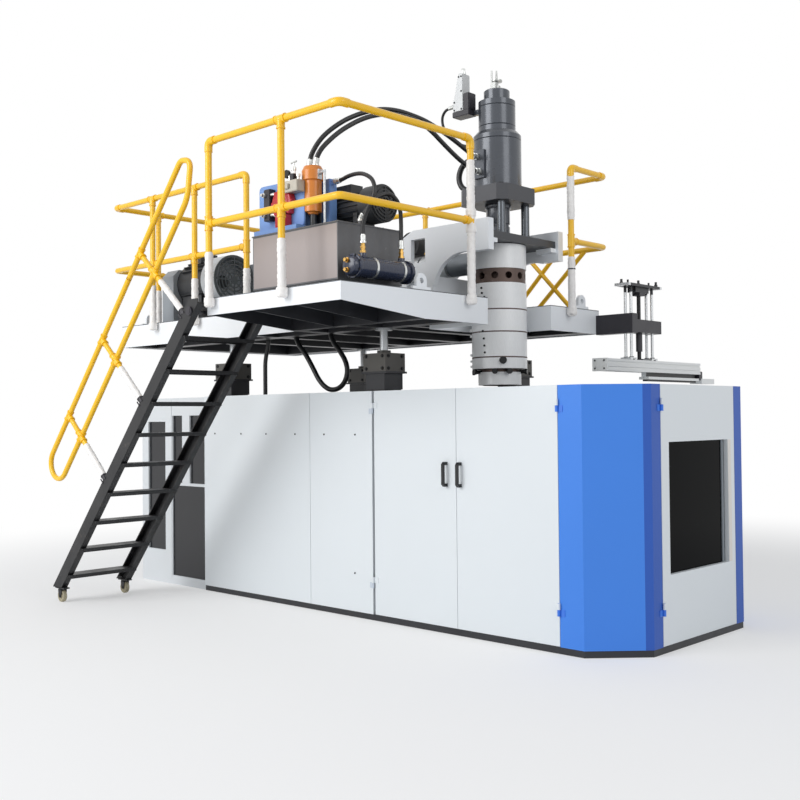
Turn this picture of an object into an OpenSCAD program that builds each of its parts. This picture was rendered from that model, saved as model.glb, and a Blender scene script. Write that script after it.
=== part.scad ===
// Accumulator-head blow moulding machine with a raised extruder platform.
// The origin is on the floor under the die axis. +X points to the window end, +Y to the back.

/* [Guard enclosure] */
// Height of the guard panels above the floor
enc_h = 1700; // [1660:5:1715]
// Distance from the die axis to the left end of the guard
enc_left = 2589; // [2540:1:2700]
// Distance from the die axis to the window end
enc_right = 1678; // [1640:1:1760]
// Half of the guard's width
enc_half_w = 918; // [910:1:950]
// Size of the two cut corners at the window end
corner_cut = 309; // [260:1:320]
// Height of the black plinth
plinth_h = 44; // [30:1:60]
// Depth of the folded panels
pan_d = 30; // [20:1:32]
// Sheet thickness of the panels
sheet_t = 2; // [1.5:0.5:3]
// Gap between neighbouring panels
seam = 4; // [3:0.5:6]
// Distance from the die axis to the seam between the fixed panels, on the left
panel_seam_x = 1185; // [1000:5:1400]
// Width of the gap that shows the black column beside the doors
post_gap = 24; // [20:1:30]
// Distance from the die axis to the seam between the front doors
door_seam_x = 337; // [300:1:400]
// Distance from the die axis to the hinge line of the right door
door_end_x = 1188; // [1160:1:1200]
// Side of the square posts inside the guard
post_w = 50; // [40:1:60]

/* [Doors] */
// Radius of the hinge pins
hinge_pin_r = 6; // [5:0.5:7]
// Radius of the hinge knuckles
hinge_knuckle_r = 10; // [9:0.5:11]
// Length of one hinge knuckle
hinge_knuckle_l = 40; // [30:1:50]
// Height of the lower hinges
hinge_low_z = 240; // [160:5:320]
// Distance from the panels' upper edge down to the upper hinges
hinge_drop = 170; // [100:5:250]
// Length of the pull handles
handle_l = 172; // [140:1:200]
// How far the pull handles stand out
handle_out = 45; // [35:1:60]
// Height of the middle of the pull handles
handle_z = 1105; // [1000:5:1200]
// Half of the window door's width
window_door_half = 497; // [470:1:500]
// Half of the window's width
window_half = 400; // [350:1:420]
// Height of the window's lower edge
window_z0 = 487; // [450:1:600]
// Height of the window's upper edge
window_z1 = 1331; // [1200:1:1400]
// Thickness of the window pane
pane_t = 8; // [5:0.5:10]

/* [Mould clamp] */
// Radius of the four tie bars
bar_r = 35; // [30:1:40]
// Half of the tie bars' spacing across the machine
bar_y = 400; // [380:1:430]
// Height of the lower tie bars
bar_z0 = 720; // [700:1:740]
// Height of the upper tie bars
bar_z1 = 1520; // [1500:1:1540]
// Thickness of each moving platen
platen_t = 90; // [70:1:110]
// Thickness of each mould half
mould_t = 220; // [190:1:240]
// Width of the mould
mould_w = 420; // [400:1:520]
// Height of the mould
mould_h = 640; // [600:1:700]
// Height of the mould's underside
mould_z = 800; // [790:1:820]
// Travel of each platen from open to closed
clamp_stroke = 300; // [200:5:320]
// Gap that is left between the closed mould halves
mould_gap = 0.4; // [0.3:0.1:1]
// Distance from the die axis to the inner face of the left end plate
clamp_left = 1100; // [1060:5:1150]
// Distance from the die axis to the inner face of the right end plate
clamp_right = 1000; // [980:5:1050]
// Thickness of the clamp's end plates
end_plate_t = 80; // [60:1:100]
// Radius of the clamp cylinder's rod
ram_r = 50; // [40:1:60]
// Inner radius of the clamp cylinder
clamp_bore_r = 80; // [70:1:90]
// Radius of the blow pin
pin_r = 22; // [18:1:26]
// Radius of the lift ram under the blow pin
lift_ram_r = 40; // [30:1:50]

/* [Extruder platform] */
// Height of the platform's walking surface
deck_z = 2363; // [2340:1:2400]
// Thickness of the deck plate
deck_t = 6; // [4:1:10]
// Height of the platform's main edge
fascia_h = 195; // [180:1:220]
// Height of the front edge, where the cantilever is thinnest
front_fascia_h = 122; // [100:1:140]
// Thickness of the edge plates
fascia_t = 8; // [5:1:12]
// Distance from the die axis to the left end of the deck
deck_left = 3520; // [3480:5:3600]
// Distance from the die axis to the right edge of the deck
deck_right = 304; // [295:1:330]
// Distance from the die axis to the front of the main deck
main_front = 1165; // [1150:1:1180]
// Distance from the die axis to the front of the cantilevered deck
front_y = 1961; // [1940:1:2000]
// Distance from the die axis to the left edge of the cantilevered deck
cant_left = 1090; // [1080:1:1110]
// Distance from the die axis to the back of the deck
deck_rear = 930; // [925:1:960]
// Front side of the notch that the head hangs in
notch_front = 514; // [505:1:530]
// Back side of the notch
notch_rear = 262; // [255:1:290]
// Depth of the notch behind the die axis
notch_x = 250; // [245:1:280]
// Side of the square support columns
column_w = 180; // [160:1:190]
// Distance from the guard's long sides in to the columns' middle
column_inset = 124; // [122:1:138]
// Distance from the die axis to the right pair of columns
column_x0 = 476; // [470:1:480]
// Distance from the die axis to the left pair of columns
column_x1 = 2330; // [2250:5:2400]
// Radius of the jack screws
jack_screw_r = 30; // [25:1:35]

/* [Railings and stair] */
// Outer diameter of the railing tubes
rail_d = 48; // [42:1:50]
// Height of the top rail above the deck
rail_h = 1106; // [1050:1:1150]
// Height of the middle rail above the deck
mid_rail_h = 540; // [500:1:600]
// Distance from the deck's edge to the railing's centre line
rail_out = 40; // [36:1:44]
// Slope of the stair
stair_angle = 48.75; // [48.5:0.05:49]
// Depth of the stair's channel sections
stringer_d = 160; // [140:1:170]
// Flange width of the stair's channel sections
stringer_f = 65; // [50:1:70]
// Wall of the stair's channel sections
stringer_t = 9; // [7:1:12]
// Width of the stair over both channels
stair_w = 560; // [540:1:600]
// Height from one tread to the next
tread_rise = 233.5; // [230:0.5:235]
// Radius of the stair's wheels
wheel_r = 50; // [45:1:55]
// Width of the stair's wheels
wheel_w = 34; // [28:1:38]
// Radius of the wheels' axles
axle_r = 8; // [6:1:10]

/* [Extruder and head] */
// Height of the extruder's axis above the deck
barrel_h = 357; // [350:1:370]
// Outer radius of the extruder barrel
barrel_r = 90; // [80:1:95]
// Radius of the screw
screw_r = 45; // [40:1:50]
// Radius of the accumulator head's heater bands
shell_r = 213; // [205:1:220]
// Height of the die's lower face
die_z = 1741; // [1735:1:1760]
// Half of the width of the square plate under the cylinder
top_plate_half = 230; // [220:1:236]
// Half of the length of the yoke plate that carries the head
yoke_half = 405; // [400:1:405]
// Height of the yoke plate's upper face above the deck
yoke_top_h = 514; // [510:1:520]
// Thickness of the yoke plate
yoke_t = 57; // [50:1:60]
// Radius of the four tie rods
tie_rod_r = 32; // [28:1:36]

/* [Hydraulics] */
// Length of the oil tank along X
tank_l = 880; // [860:1:900]
// Depth of the oil tank along Y
tank_w = 600; // [580:1:620]
// Height of the oil tank
tank_h = 382; // [370:1:400]
// Radius of the oil cooler
cooler_r = 80; // [70:1:84]
// Outer diameter of the large hoses
hose_d = 42; // [36:1:44]

/* [Take-out unit] */
// Radius of the four guide rods
guide_r = 12; // [10:1:14]
// Height of the bracket beam
takeout_beam_h = 158; // [140:1:170]
// Width of the lifting arm
arm_w = 124; // [110:1:130]
// Height of the lifting arm
arm_h = 95; // [80:1:100]

/* [Hidden] */
$fn = 48;

// Clearances that more than one piece uses
run_gap = 0.05;
joint = 0.05;
body_gap = 0.8;
eps = 1;

// Guard enclosure
bevel = sqrt(2) - 1;
panel_z0 = plinth_h;
door_z0 = plinth_h + 3;
panel_z1 = enc_h;
rail_w = 40;
plinth_w = 100;
hinge_y = enc_half_w + hinge_knuckle_r + 1;
hinge_zs = [hinge_low_z, enc_h - hinge_drop];
left_hinge_x = -column_x0;
left_door_x0 = left_hinge_x + post_gap / 2;
left_door_x1 = door_seam_x - seam / 2;
right_door_x0 = door_seam_x + seam / 2;
right_door_x1 = door_end_x - seam / 2;
strip_x0 = door_end_x + seam / 2;
strip_y = window_door_half + seam;
window_hinge_x = enc_right + hinge_knuckle_r + 1;
window_hinge_y = window_door_half + seam / 2;

// Clamp
open_half = clamp_stroke + mould_gap / 2;
platen_face = open_half + mould_t;
platen_back = platen_face + platen_t;
clamp_z = mould_z + mould_h / 2;
platen_z0 = bar_z0 - 80;
platen_z1 = bar_z1 + 80;
platen_half = bar_y + 80;
skid_rail_h = 120;
skid_rail_w = 120;
skid_z = plinth_h + skid_rail_h;
piston_l = 60;
clamp_tube_wall = 25;
clamp_tube_l = clamp_stroke + 2 * piston_l + 60;
pin_table_h = 60;
pin_h = 190;
pin_lift = 60;
pin_top = mould_z - 10;
pin_table_z = pin_top - pin_h - pin_table_h;
stand_half = 130;
stand_h = 400;
neck_r = pin_r + 8;

// Platform
deck_under = deck_z - deck_t;
column_y = enc_half_w - column_inset;
beam_w = 120;
beam_z0 = deck_z - fascia_h + 5;
rail_z = deck_z + rail_h;
mid_z = deck_z + mid_rail_h;
jack_z0 = enc_h + 12;
jack_z1 = 1845;
jack_z2 = 1982;
column_z0 = plinth_h;
column_wall = 10;
cross_xs = [-deck_left + 60, -column_x1, -1700, -cant_left + 10, -column_x0];

// Railing lines: the tubes run outside the deck's edges
front_line = -front_y - rail_out;
right_line = deck_right + rail_out;
rear_line = deck_rear + rail_out;
left_line = -deck_left - rail_out;
main_line = -main_front - rail_out;
rail_r = rail_d / 2;
fitting_r = rail_r + 7;
post_foot_z = deck_z - 66;

// Stair, on a line that passes through the middle of both channels
stair_y0 = -front_y - 40;
stair_top = [-1140, 2270];
stair_foot_z = 2 * wheel_r + 18;
stair_cos = cos(stair_angle);
stair_sin = sin(stair_angle);
pivot_x = stair_top[0];
pivot_z = stair_top[1];
tread_z0 = 2087;
tread_count = 9;
tread_depth = 170;
tread_t = 28;
pivot_r = 12;
foot_x = pivot_x - (pivot_z - stair_foot_z) / tan(stair_angle);
wheel_x = foot_x + 20;

// Extruder and head
barrel_z = deck_z + barrel_h;
barrel_x0 = -2470;
barrel_x1 = -shell_r + 20;
gear_x0 = -2950;
gear_x1 = -2470;
yoke_top = deck_z + yoke_top_h;
yoke_z = yoke_top - yoke_t;
yoke_x1 = 250;
top_plate_z0 = 3140;
top_plate_z1 = 3262;
tie_rod_c = 150;
band_zs = [[1868, 1953], [1957, 2147], [2151, 2318], [2322, 2522], [2632, yoke_z - 2]];
ring_z0 = 2522;
ring_z1 = 2632;
support_y0 = yoke_half;
support_t = 40;
support_top = 2956;
support_x0 = -626;
support_x1 = 278;

// Motor and belt drive
motor_y = -750;
motor_z = deck_z + 362;
motor_fan_x = -2362;
cowl_r = 221;
guard_x0 = -3140;
guard_x1 = -2965;
heat_zones = [[-2000, -1700], [-1640, -1340], [-1050, -770], [-750, -470]];
foot_xs = [-2080, -1195];

// Hydraulics
tank_x1 = 85;
tank_y0 = -1780;
tank_foot = 43;
tank_z0 = deck_z + tank_foot;
tank_z1 = tank_z0 + tank_h;
tank_x0 = tank_x1 - tank_l;
tank_y1 = tank_y0 + tank_w;
pump_y = -1370;
pump_z = tank_z1 + 165;
cooler_x = tank_x1 + cooler_r + 22;
cooler_z = 2480;
filter_x = -312;
filter_y = -1640;
filter_z0 = tank_z1 + 110;
filter_z1 = 3235;

// Take-out unit
beam_x0 = deck_right;
beam_x1 = 645;
beam_y0 = deck_rear - 45;
beam_y1 = beam_y0 + 80;
takeout_z1 = deck_z - 45;
takeout_z0 = takeout_z1 - takeout_beam_h;
guide_xs = [558, 610];
guide_ys = [925, 1245];
block_z0 = 2168;
block_z1 = 2272;
arm_z1 = 1945;
arm_z0 = arm_z1 - arm_h;
arm_x0 = 584 - arm_w / 2;
arm_y0 = 500;
arm_y1 = 1990;
lift_plate_z = 2536;

// Routes of the hoses, chosen by hand
supply_route = [
    [-344, -1640, 3227], [-344, -1640, 3245], [-328, -1637, 3310], [-299, -1615, 3379], [-269, -1575, 3445],
    [-233, -1512, 3510], [-197, -1430, 3572], [-162, -1335, 3623], [-133, -1240, 3661], [-108, -1145, 3684],
    [-81, -1040, 3690], [-58, -930, 3680], [-34, -800, 3657], [-18, -660, 3616], [-12, -510, 3568],
    [-16, -370, 3522], [-28, -290, 3502], [-38, -236, 3498], [-38, -205, 3498]
];
return_route = [
    [-281, -1640, 3227], [-281, -1640, 3245], [-264, -1637, 3295], [-242, -1618, 3345], [-218, -1575, 3400],
    [-189, -1515, 3461], [-161, -1445, 3516], [-127, -1360, 3570], [-102, -1275, 3608], [-72, -1180, 3634],
    [-42, -1075, 3644], [-14, -965, 3636], [8, -875, 3612], [20, -780, 3568], [26, -680, 3510],
    [24, -570, 3456], [14, -450, 3412], [2, -330, 3384], [-10, -270, 3378], [-14, -236, 3378], [-14, -205, 3378]
];
cooler_front_route = [
    [187, -1650, 2640], [187, -1650, 2700], [190, -1649, 2776], [222, -1642, 2856], [262, -1630, 2930],
    [268, -1620, 2996], [228, -1608, 3062], [140, -1590, 3110], [46, -1570, 3131], [-59, -1545, 3136],
    [-130, -1528, 3131], [-185, -1520, 3128], [-215, -1520, 3128]
];
cooler_rear_route = [
    [187, -1290, 2640], [187, -1290, 2720], [187, -1290, 2820], [188, -1298, 2900], [188, -1326, 2960],
    [186, -1376, 2994], [180, -1430, 2996], [158, -1488, 2966], [122, -1524, 2910], [80, -1538, 2866],
    [58, -1540, 2846], [52, -1540, 2832], [52, -1540, 2816]
];
lower_route = [
    [-1960, -700, 2357], [-1960, -700, 2260], [-1961, -700, 2170], [-1972, -700, 2105], [-1990, -700, 2050], [-2004, -700, 1980],
    [-2006, -700, 1900], [-2006, -700, 1810], [-2006, -700, 1720], [-2006, -700, 1600]
];
cylinder_route = [
    [-215, -20, 3540], [-240, -20, 3540], [-290, -22, 3530], [-340, -26, 3495], [-366, -28, 3440],
    [-366, -28, 3385], [-340, -26, 3335], [-290, -22, 3304], [-240, -20, 3296], [-215, -20, 3296]
];
servo_route = [
    [-343, -110, 3965], [-380, -110, 3965], [-436, -108, 3953], [-476, -100, 3914], [-484, -90, 3858],
    [-466, -78, 3800], [-430, -64, 3746], [-380, -50, 3702], [-322, -38, 3668], [-264, -30, 3651],
    [-236, -28, 3650], [-215, -28, 3650]
];
loop_route = [
    [-1610, -700, 2357], [-1610, -700, 2260], [-1598, -700, 2180], [-1560, -700, 2110], [-1500, -700, 2050], [-1440, -700, 1980],
    [-1380, -700, 1900], [-1320, -700, 1820], [-1250, -700, 1760], [-1170, -700, 1730],
    [-1080, -700, 1740], [-1010, -700, 1790], [-980, -700, 1870], [-1000, -700, 1950],
    [-1060, -700, 2030], [-1130, -700, 2100], [-1172, -700, 2180], [-1180, -700, 2260], [-1180, -700, 2357]
];

// Unit vector
function unit(v) = v / norm(v);

// Direction of a route at one of its points
function heading(p, i) = unit(p[min(i + 1, len(p) - 1)] - p[max(i - 1, 0)]);

// A hose: one closed tube swept through the points of its route, square to a fixed side vector
module hose(route, d, side) {
    sides = 10;
    last = len(route) - 1;
    rings = [for (i = [0 : last])
        let (t = heading(route, i), a = unit(cross(t, side)), b = cross(t, a))
        for (k = [0 : sides - 1]) route[i] + d / 2 * (a * cos(k * 360 / sides) + b * sin(k * 360 / sides))];
    walls = [for (i = [0 : last - 1], k = [0 : sides - 1])
        [i * sides + k, i * sides + (k + 1) % sides, (i + 1) * sides + (k + 1) % sides, (i + 1) * sides + k]];
    ends = [[for (k = [sides - 1 : -1 : 0]) k], [for (k = [0 : sides - 1]) last * sides + k]];
    polyhedron(rings, concat(walls, ends));
}

// Tube between two points, as a true cylinder
module rod(a, b, r) {
    v = b - a;
    translate(a)
        rotate([0, acos(v[2] / norm(v)), atan2(v[1], v[0])])
            cylinder(r = r, h = norm(v));
}

// Round bar along X, Y or Z from a starting point
module bar_x(x, y, z, l, r) { translate([x, y, z]) rotate([0, 90, 0]) cylinder(r = r, h = l); }
module bar_y(x, y, z, l, r) { translate([x, y, z]) rotate([-90, 0, 0]) cylinder(r = r, h = l); }
module bar_z(x, y, z, l, r) { translate([x, y, z]) cylinder(r = r, h = l); }

// Box between two corners
module block(a, b) { translate(a) cube(b - a); }

// Outline of the guard, moved inwards by d
function enc_outline(d) = [
    [-enc_left + d, -enc_half_w + d], [enc_right - corner_cut - d * bevel, -enc_half_w + d],
    [enc_right - d, -enc_half_w + corner_cut + d * bevel],
    [enc_right - d, enc_half_w - corner_cut - d * bevel],
    [enc_right - corner_cut - d * bevel, enc_half_w - d], [-enc_left + d, enc_half_w - d]
];

// Folded sheet panel that faces -Y, with its edges turned back
module pan(x0, x1, z0) {
    difference() {
        block([x0, -enc_half_w, z0], [x1, -enc_half_w + pan_d, panel_z1]);
        block([x0 + sheet_t, -enc_half_w + sheet_t, z0 + sheet_t],
              [x1 - sheet_t, -enc_half_w + pan_d + eps, panel_z1 - sheet_t]);
    }
}

// Knuckle and strap of a door hinge, about a vertical axis at the origin; s is the strap's side
module knuckle(s, strap_l, bore_r) {
    difference() {
        union() {
            cylinder(r = hinge_knuckle_r, h = hinge_knuckle_l);
            translate([s > 0 ? 0 : -strap_l, hinge_knuckle_r - 3, 0]) cube([strap_l, 4, hinge_knuckle_l]);
        }
        translate([0, 0, -eps]) cylinder(r = bore_r, h = hinge_knuckle_l + 2 * eps);
    }
}

// Upper knuckles that turn with a door
module door_knuckles(s) {
    for (z = hinge_zs)
        translate([0, 0, z + hinge_knuckle_l + body_gap]) knuckle(s, 46, hinge_pin_r + run_gap);
}

// Lower knuckles with their pins, fixed to the guard
module fixed_knuckles(s) {
    for (z = hinge_zs) {
        translate([0, 0, z]) knuckle(s, 40, hinge_pin_r);
        translate([0, 0, z]) cylinder(r = hinge_pin_r, h = 2 * hinge_knuckle_l + body_gap);
    }
}

// Pull handle that stands out towards -Y from the origin
module pull_handle() {
    grip = 14;
    corner = 16;
    translate([-11, 0, 0]) rotate([90, 0, 90]) linear_extrude(22)
        polygon([
            [0, -handle_l / 2], [0, -handle_l / 2 + grip + 8], [-handle_out + grip, -handle_l / 2 + grip + 8],
            [-handle_out + grip, handle_l / 2 - grip - 8], [0, handle_l / 2 - grip - 8], [0, handle_l / 2],
            [-handle_out + corner, handle_l / 2], [-handle_out, handle_l / 2 - corner],
            [-handle_out, -handle_l / 2 + corner], [-handle_out + corner, -handle_l / 2]
        ]);
}

// One of the plinth's six mitred bars, in plan
function plinth_bar(i) =
    let (out = enc_outline(4), in = enc_outline(4 + plinth_w), j = (i + 1) % 6, u = unit(out[j] - out[i]) * joint / 2)
    [out[i] + u, out[j] - u, in[j] - u, in[i] + u];

// Members that are welded up from separate bars: plinth, cross members, skid rails and the pin's stand
module base_frame() {
    in_y = enc_half_w - 4 - plinth_w - joint;
    rail_y = [bar_y - skid_rail_w / 2 - joint, bar_y + skid_rail_w / 2 + joint];
    cross = [-column_x1, -panel_seam_x - 300, -clamp_left - end_plate_t / 2, -column_x0, 0, clamp_right + end_plate_t / 2];
    color("#2a2b30") {
        difference() {
            for (i = [0 : 5]) linear_extrude(plinth_h) polygon(plinth_bar(i));
            for (x = [-enc_left + 54, clamp_right], s = [-1, 1]) bar_z(x, s * (enc_half_w - 54), -eps, plinth_h + 2 * eps, 9);
        }
        for (x = cross) {
            for (m = [0, 1]) mirror([0, m, 0]) block([x - 60, rail_y[1], 0], [x + 60, in_y, plinth_h]);
            if (x != 0) block([x - 60, -rail_y[0], 0], [x + 60, rail_y[0], plinth_h]);
            else for (m = [0, 1]) mirror([0, m, 0]) block([-60, stand_half + joint, 0], [60, rail_y[0], plinth_h]);
        }
        for (s = [-1, 1]) translate([0, s * bar_y, 0])
            block([-enc_left + 4 + plinth_w + joint, -skid_rail_w / 2, 0], [clamp_right + end_plate_t, skid_rail_w / 2, skid_z]);
        difference() {
            block([-stand_half, -stand_half, 0], [stand_half, stand_half, stand_h]);
            bar_z(0, 0, plinth_h, stand_h, lift_ram_r + run_gap);
        }
        guard_posts();
    }
}

// Posts inside the guard and the top rails that lie on them; the rails meet the left columns
module guard_posts() {
    in = enc_half_w - pan_d - 2;
    top = enc_h - 5;
    x0 = -enc_left + pan_d + 2;
    under = top - rail_w - joint;
    gap = column_w / 2 + joint;
    for (m = [0, 1]) mirror([0, m, 0]) {
        for (p = [[x0, under], [-panel_seam_x - post_w / 2, under], [door_end_x - post_w, top]])
            block([p[0], -in, plinth_h + joint], [p[0] + post_w, -in + post_w, p[1]]);
        block([x0 + rail_w + joint, -in, top - rail_w], [-column_x1 - gap, -in + rail_w, top]);
        block([-column_x1 + gap, -in, top - rail_w], [-panel_seam_x, -in + rail_w, top]);
        translate([enc_right - pan_d - 52 - post_w, strip_y, plinth_h + joint]) cube([post_w, post_w, top - plinth_h - joint]);
    }
    block([x0, -in, top - rail_w], [x0 + rail_w, in, top]);
}

module front_panels() {
    color("#e3e8eb") {
        pan(-enc_left, -panel_seam_x - seam / 2, panel_z0);
        pan(-panel_seam_x + seam / 2, left_hinge_x - post_gap / 2, panel_z0);
    }
}

module rear_panels() {
    color("#e3e8eb") {
        mirror([0, 1, 0]) {
            pan(-enc_left, -panel_seam_x - seam / 2, panel_z0);
            pan(-panel_seam_x + seam / 2, left_hinge_x - seam / 2, panel_z0);
            pan(left_hinge_x + seam / 2, left_door_x1, panel_z0);
            pan(right_door_x0, right_door_x1, panel_z0);
        }
        difference() {
            block([-enc_left, -enc_half_w + pan_d + seam, panel_z0], [-enc_left + pan_d, enc_half_w - pan_d - seam, panel_z1]);
            block([-enc_left + sheet_t, -enc_half_w + pan_d + seam + sheet_t, panel_z0 + sheet_t],
                  [-enc_left + pan_d + eps, enc_half_w - pan_d - seam - sheet_t, panel_z1 - sheet_t]);
        }
    }
}

module corner_panels() {
    t = sheet_t + 1;
    b = t * bevel;
    outline = [
        [strip_x0, -enc_half_w], [enc_right - corner_cut, -enc_half_w], [enc_right, -enc_half_w + corner_cut],
        [enc_right, -strip_y], [enc_right - pan_d, -strip_y], [enc_right - pan_d, -strip_y - t],
        [enc_right - t, -strip_y - t], [enc_right - t, -enc_half_w + corner_cut + b],
        [enc_right - corner_cut - b, -enc_half_w + t], [strip_x0 + t, -enc_half_w + t],
        [strip_x0 + t, -enc_half_w + pan_d], [strip_x0, -enc_half_w + pan_d]
    ];
    color("#5b92e6") for (m = [0, 1]) mirror([0, m, 0])
        translate([0, 0, panel_z0]) linear_extrude(panel_z1 - panel_z0) polygon(outline);
}

module hinges() {
    color("#9fb4d8") {
        translate([left_hinge_x, -hinge_y, 0]) fixed_knuckles(-1);
        translate([door_end_x, -hinge_y, 0]) fixed_knuckles(1);
        translate([window_hinge_x, -window_hinge_y, 0]) rotate([0, 0, 90]) fixed_knuckles(-1);
    }
}

module door_left() {
    color("#e3e8eb") pan(left_door_x0, left_door_x1, door_z0);
    color("#b9bdc2") translate([left_hinge_x, -hinge_y, 0]) door_knuckles(1);
    color("#17181a") translate([door_seam_x - 90, -enc_half_w, handle_z]) pull_handle();
}

module door_right() {
    color("#e3e8eb") pan(right_door_x0, right_door_x1, door_z0);
    color("#b9bdc2") translate([door_end_x, -hinge_y, 0]) door_knuckles(-1);
    color("#17181a") translate([door_seam_x + 38, -enc_half_w, handle_z]) pull_handle();
}

module window_door() {
    r = enc_right;
    color("#c9ced2") difference() {
        block([r - pan_d, -window_door_half, door_z0], [r, window_door_half, panel_z1]);
        for (y = [[-window_door_half, -window_half], [window_half, window_door_half]])
            block([r - pan_d - eps, y[0] + sheet_t, door_z0 + sheet_t], [r - sheet_t, y[1] - sheet_t, panel_z1 - sheet_t]);
        for (z = [[door_z0, window_z0], [window_z1, panel_z1]])
            block([r - pan_d - eps, -window_half - eps, z[0] + sheet_t], [r - sheet_t, window_half + eps, z[1] - sheet_t]);
        block([r - pan_d - eps, -window_half, window_z0], [r + eps, window_half, window_z1]);
    }
    color("#5b92e6") translate([window_hinge_x, -window_hinge_y, 0]) rotate([0, 0, 90]) door_knuckles(1);
}

module window_pane() {
    lap = 24;
    color([0.08, 0.09, 0.1, 0.6])
        block([enc_right - pan_d - pane_t, -window_half - lap, window_z0 - lap],
              [enc_right - pan_d, window_half + lap, window_z1 + lap]);
}

// The four positions of the tie bars
module at_bars() {
    for (y = [-bar_y, bar_y], z = [bar_z0, bar_z1]) translate([0, y, z]) children();
}

module tie_bars() {
    color("#c8cacc") at_bars() {
        bar_x(-clamp_left - end_plate_t - 40, 0, 0, clamp_left + clamp_right + 2 * end_plate_t + 80, bar_r);
        for (x = [-clamp_left - end_plate_t - 32, clamp_right + end_plate_t])
            translate([x, 0, 0]) rotate([0, 90, 0]) cylinder(r = bar_r * 1.7, h = 32, $fn = 6);
    }
}

module clamp_end_plates() {
    color("#7f868c") for (x = [-clamp_left - end_plate_t, clamp_right]) difference() {
        block([x, -platen_half, skid_z], [x + end_plate_t, platen_half, platen_z1]);
        at_bars() bar_x(x - eps, 0, 0, end_plate_t + 2 * eps, bar_r);
        bar_x(x - eps, 0, clamp_z, end_plate_t + 2 * eps, ram_r + body_gap);
        block([x - eps, -220, skid_z - eps], [x + end_plate_t + eps, 220, platen_z0 - 40]);
    }
}

module clamp_cylinder() {
    x1 = -clamp_left - end_plate_t;
    color("#4c5157") difference() {
        union() {
            bar_x(x1 - clamp_tube_l - clamp_tube_wall, 0, clamp_z, clamp_tube_l + clamp_tube_wall, clamp_bore_r + clamp_tube_wall);
            block([x1 - 30, -150, clamp_z - 150], [x1, 150, clamp_z + 150]);
            block([x1 - clamp_tube_l - clamp_tube_wall, -125, clamp_z - 125],
                  [x1 - clamp_tube_l + 35, 125, clamp_z + 125]);
        }
        bar_x(x1 - clamp_tube_l, 0, clamp_z, clamp_tube_l - 20, clamp_bore_r);
        bar_x(x1 - 40, 0, clamp_z, 60, ram_r + body_gap);
    }
}

// One moving platen; s = -1 is the left one
module platen(s) {
    x0 = s < 0 ? -platen_back : platen_face;
    difference() {
        block([x0, -platen_half, platen_z0], [x0 + platen_t, platen_half, platen_z1]);
        at_bars() bar_x(x0 - eps, 0, 0, platen_t + 2 * eps, bar_r + run_gap);
        for (y = [-310, -250, 250, 310], z = [bar_z0 + 120, bar_z1 - 120]) bar_x(x0 - eps, y, z, platen_t + 2 * eps, 9);
    }
}

module platen_left() {
    piston_x = -clamp_left - end_plate_t - clamp_tube_l + 20;
    color("#8d949a") platen(-1);
    color("#d5d7d9") {
        bar_x(piston_x, 0, clamp_z, -platen_back - piston_x, ram_r);
        bar_x(piston_x, 0, clamp_z, piston_l, clamp_bore_r - run_gap);
    }
}

module platen_right() { color("#8d949a") platen(1); }

// One mould half that faces +X at x = 0: a can-shaped cavity, its neck, dowels and cooling bores
module mould_half() {
    can_w = 290;
    can_h = 400;
    can_d = 118;
    difference() {
        block([-mould_t, -mould_w / 2, mould_z], [0, mould_w / 2, mould_z + mould_h]);
        translate([0, 0, mould_z + 60]) hull() {
            block([-can_d + 30, -can_w / 2 + 30, 0], [eps, can_w / 2 - 30, can_h]);
            block([-can_d + 30, -can_w / 2, 30], [eps, can_w / 2, can_h - 30]);
            block([-can_d, -can_w / 2 + 30, 30], [eps, can_w / 2 - 30, can_h - 30]);
        }
        bar_z(0, 0, mould_z - eps, 70, neck_r);
        for (y = [-185, 185], z = [mould_z + 60, mould_z + mould_h - 60]) bar_x(-60, y, z, 61, 10);
        for (z = [mould_z + 160, mould_z + 320, mould_z + 480]) bar_y(-mould_t + 45, -mould_w / 2 - eps, z, mould_w + 2 * eps, 8);
    }
}

module mould_half_left() { color("#b9bcbf") translate([-open_half, 0, 0]) mould_half(); }

module mould_half_right() { color("#b9bcbf") translate([open_half, 0, 0]) mirror([1, 0, 0]) mould_half(); }

module blow_pin() {
    color("#9a9da1") {
        bar_z(0, 0, plinth_h + 30, pin_table_z - plinth_h - 30, lift_ram_r);
        block([-110, -110, pin_table_z], [110, 110, pin_table_z + pin_table_h]);
    }
    color("#d8dadc") rotate_extrude() polygon([
        [0, pin_table_z], [60, pin_table_z], [60, pin_table_z + pin_table_h + 12], [pin_r + 10, pin_table_z + pin_table_h + 22],
        [pin_r, pin_table_z + pin_table_h + 60], [pin_r, pin_top - 14], [pin_r - 8, pin_top], [0, pin_top]
    ]);
}

module support_columns() {
    half = column_w / 2;
    color("#3a3c40") for (x = [-column_x0, -column_x1], s = [-1, 1]) translate([x, s * column_y, 0]) difference() {
        union() {
            block([-half, -half, column_z0], [half, half, jack_z0]);
            block([-half - 8, -half - 8, jack_z0], [half + 8, half + 8, jack_z1]);
            block([-117, -105, jack_z1], [117, 105, jack_z2]);
            block([-130, -112, jack_z1 - 14], [130, 112, jack_z1]);
            bar_z(0, 0, jack_z2, 24, jack_screw_r + 22);
        }
        block([-half + column_wall, -half + column_wall, column_z0 - eps], [half - column_wall, half - column_wall, jack_z0 - 30]);
        bar_z(0, 0, jack_z0 - 40, jack_z2 - jack_z0 + 80, jack_screw_r + body_gap);
    }
}

module jack_screws() {
    color("#b8babd") for (x = [-column_x0, -column_x1], s = [-1, 1]) translate([x, s * column_y, 0]) {
        bar_z(0, 0, 1180, beam_z0 - 1180, jack_screw_r);
        bar_z(0, 0, beam_z0 - 16, 16, jack_screw_r + 35);
    }
}

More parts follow.
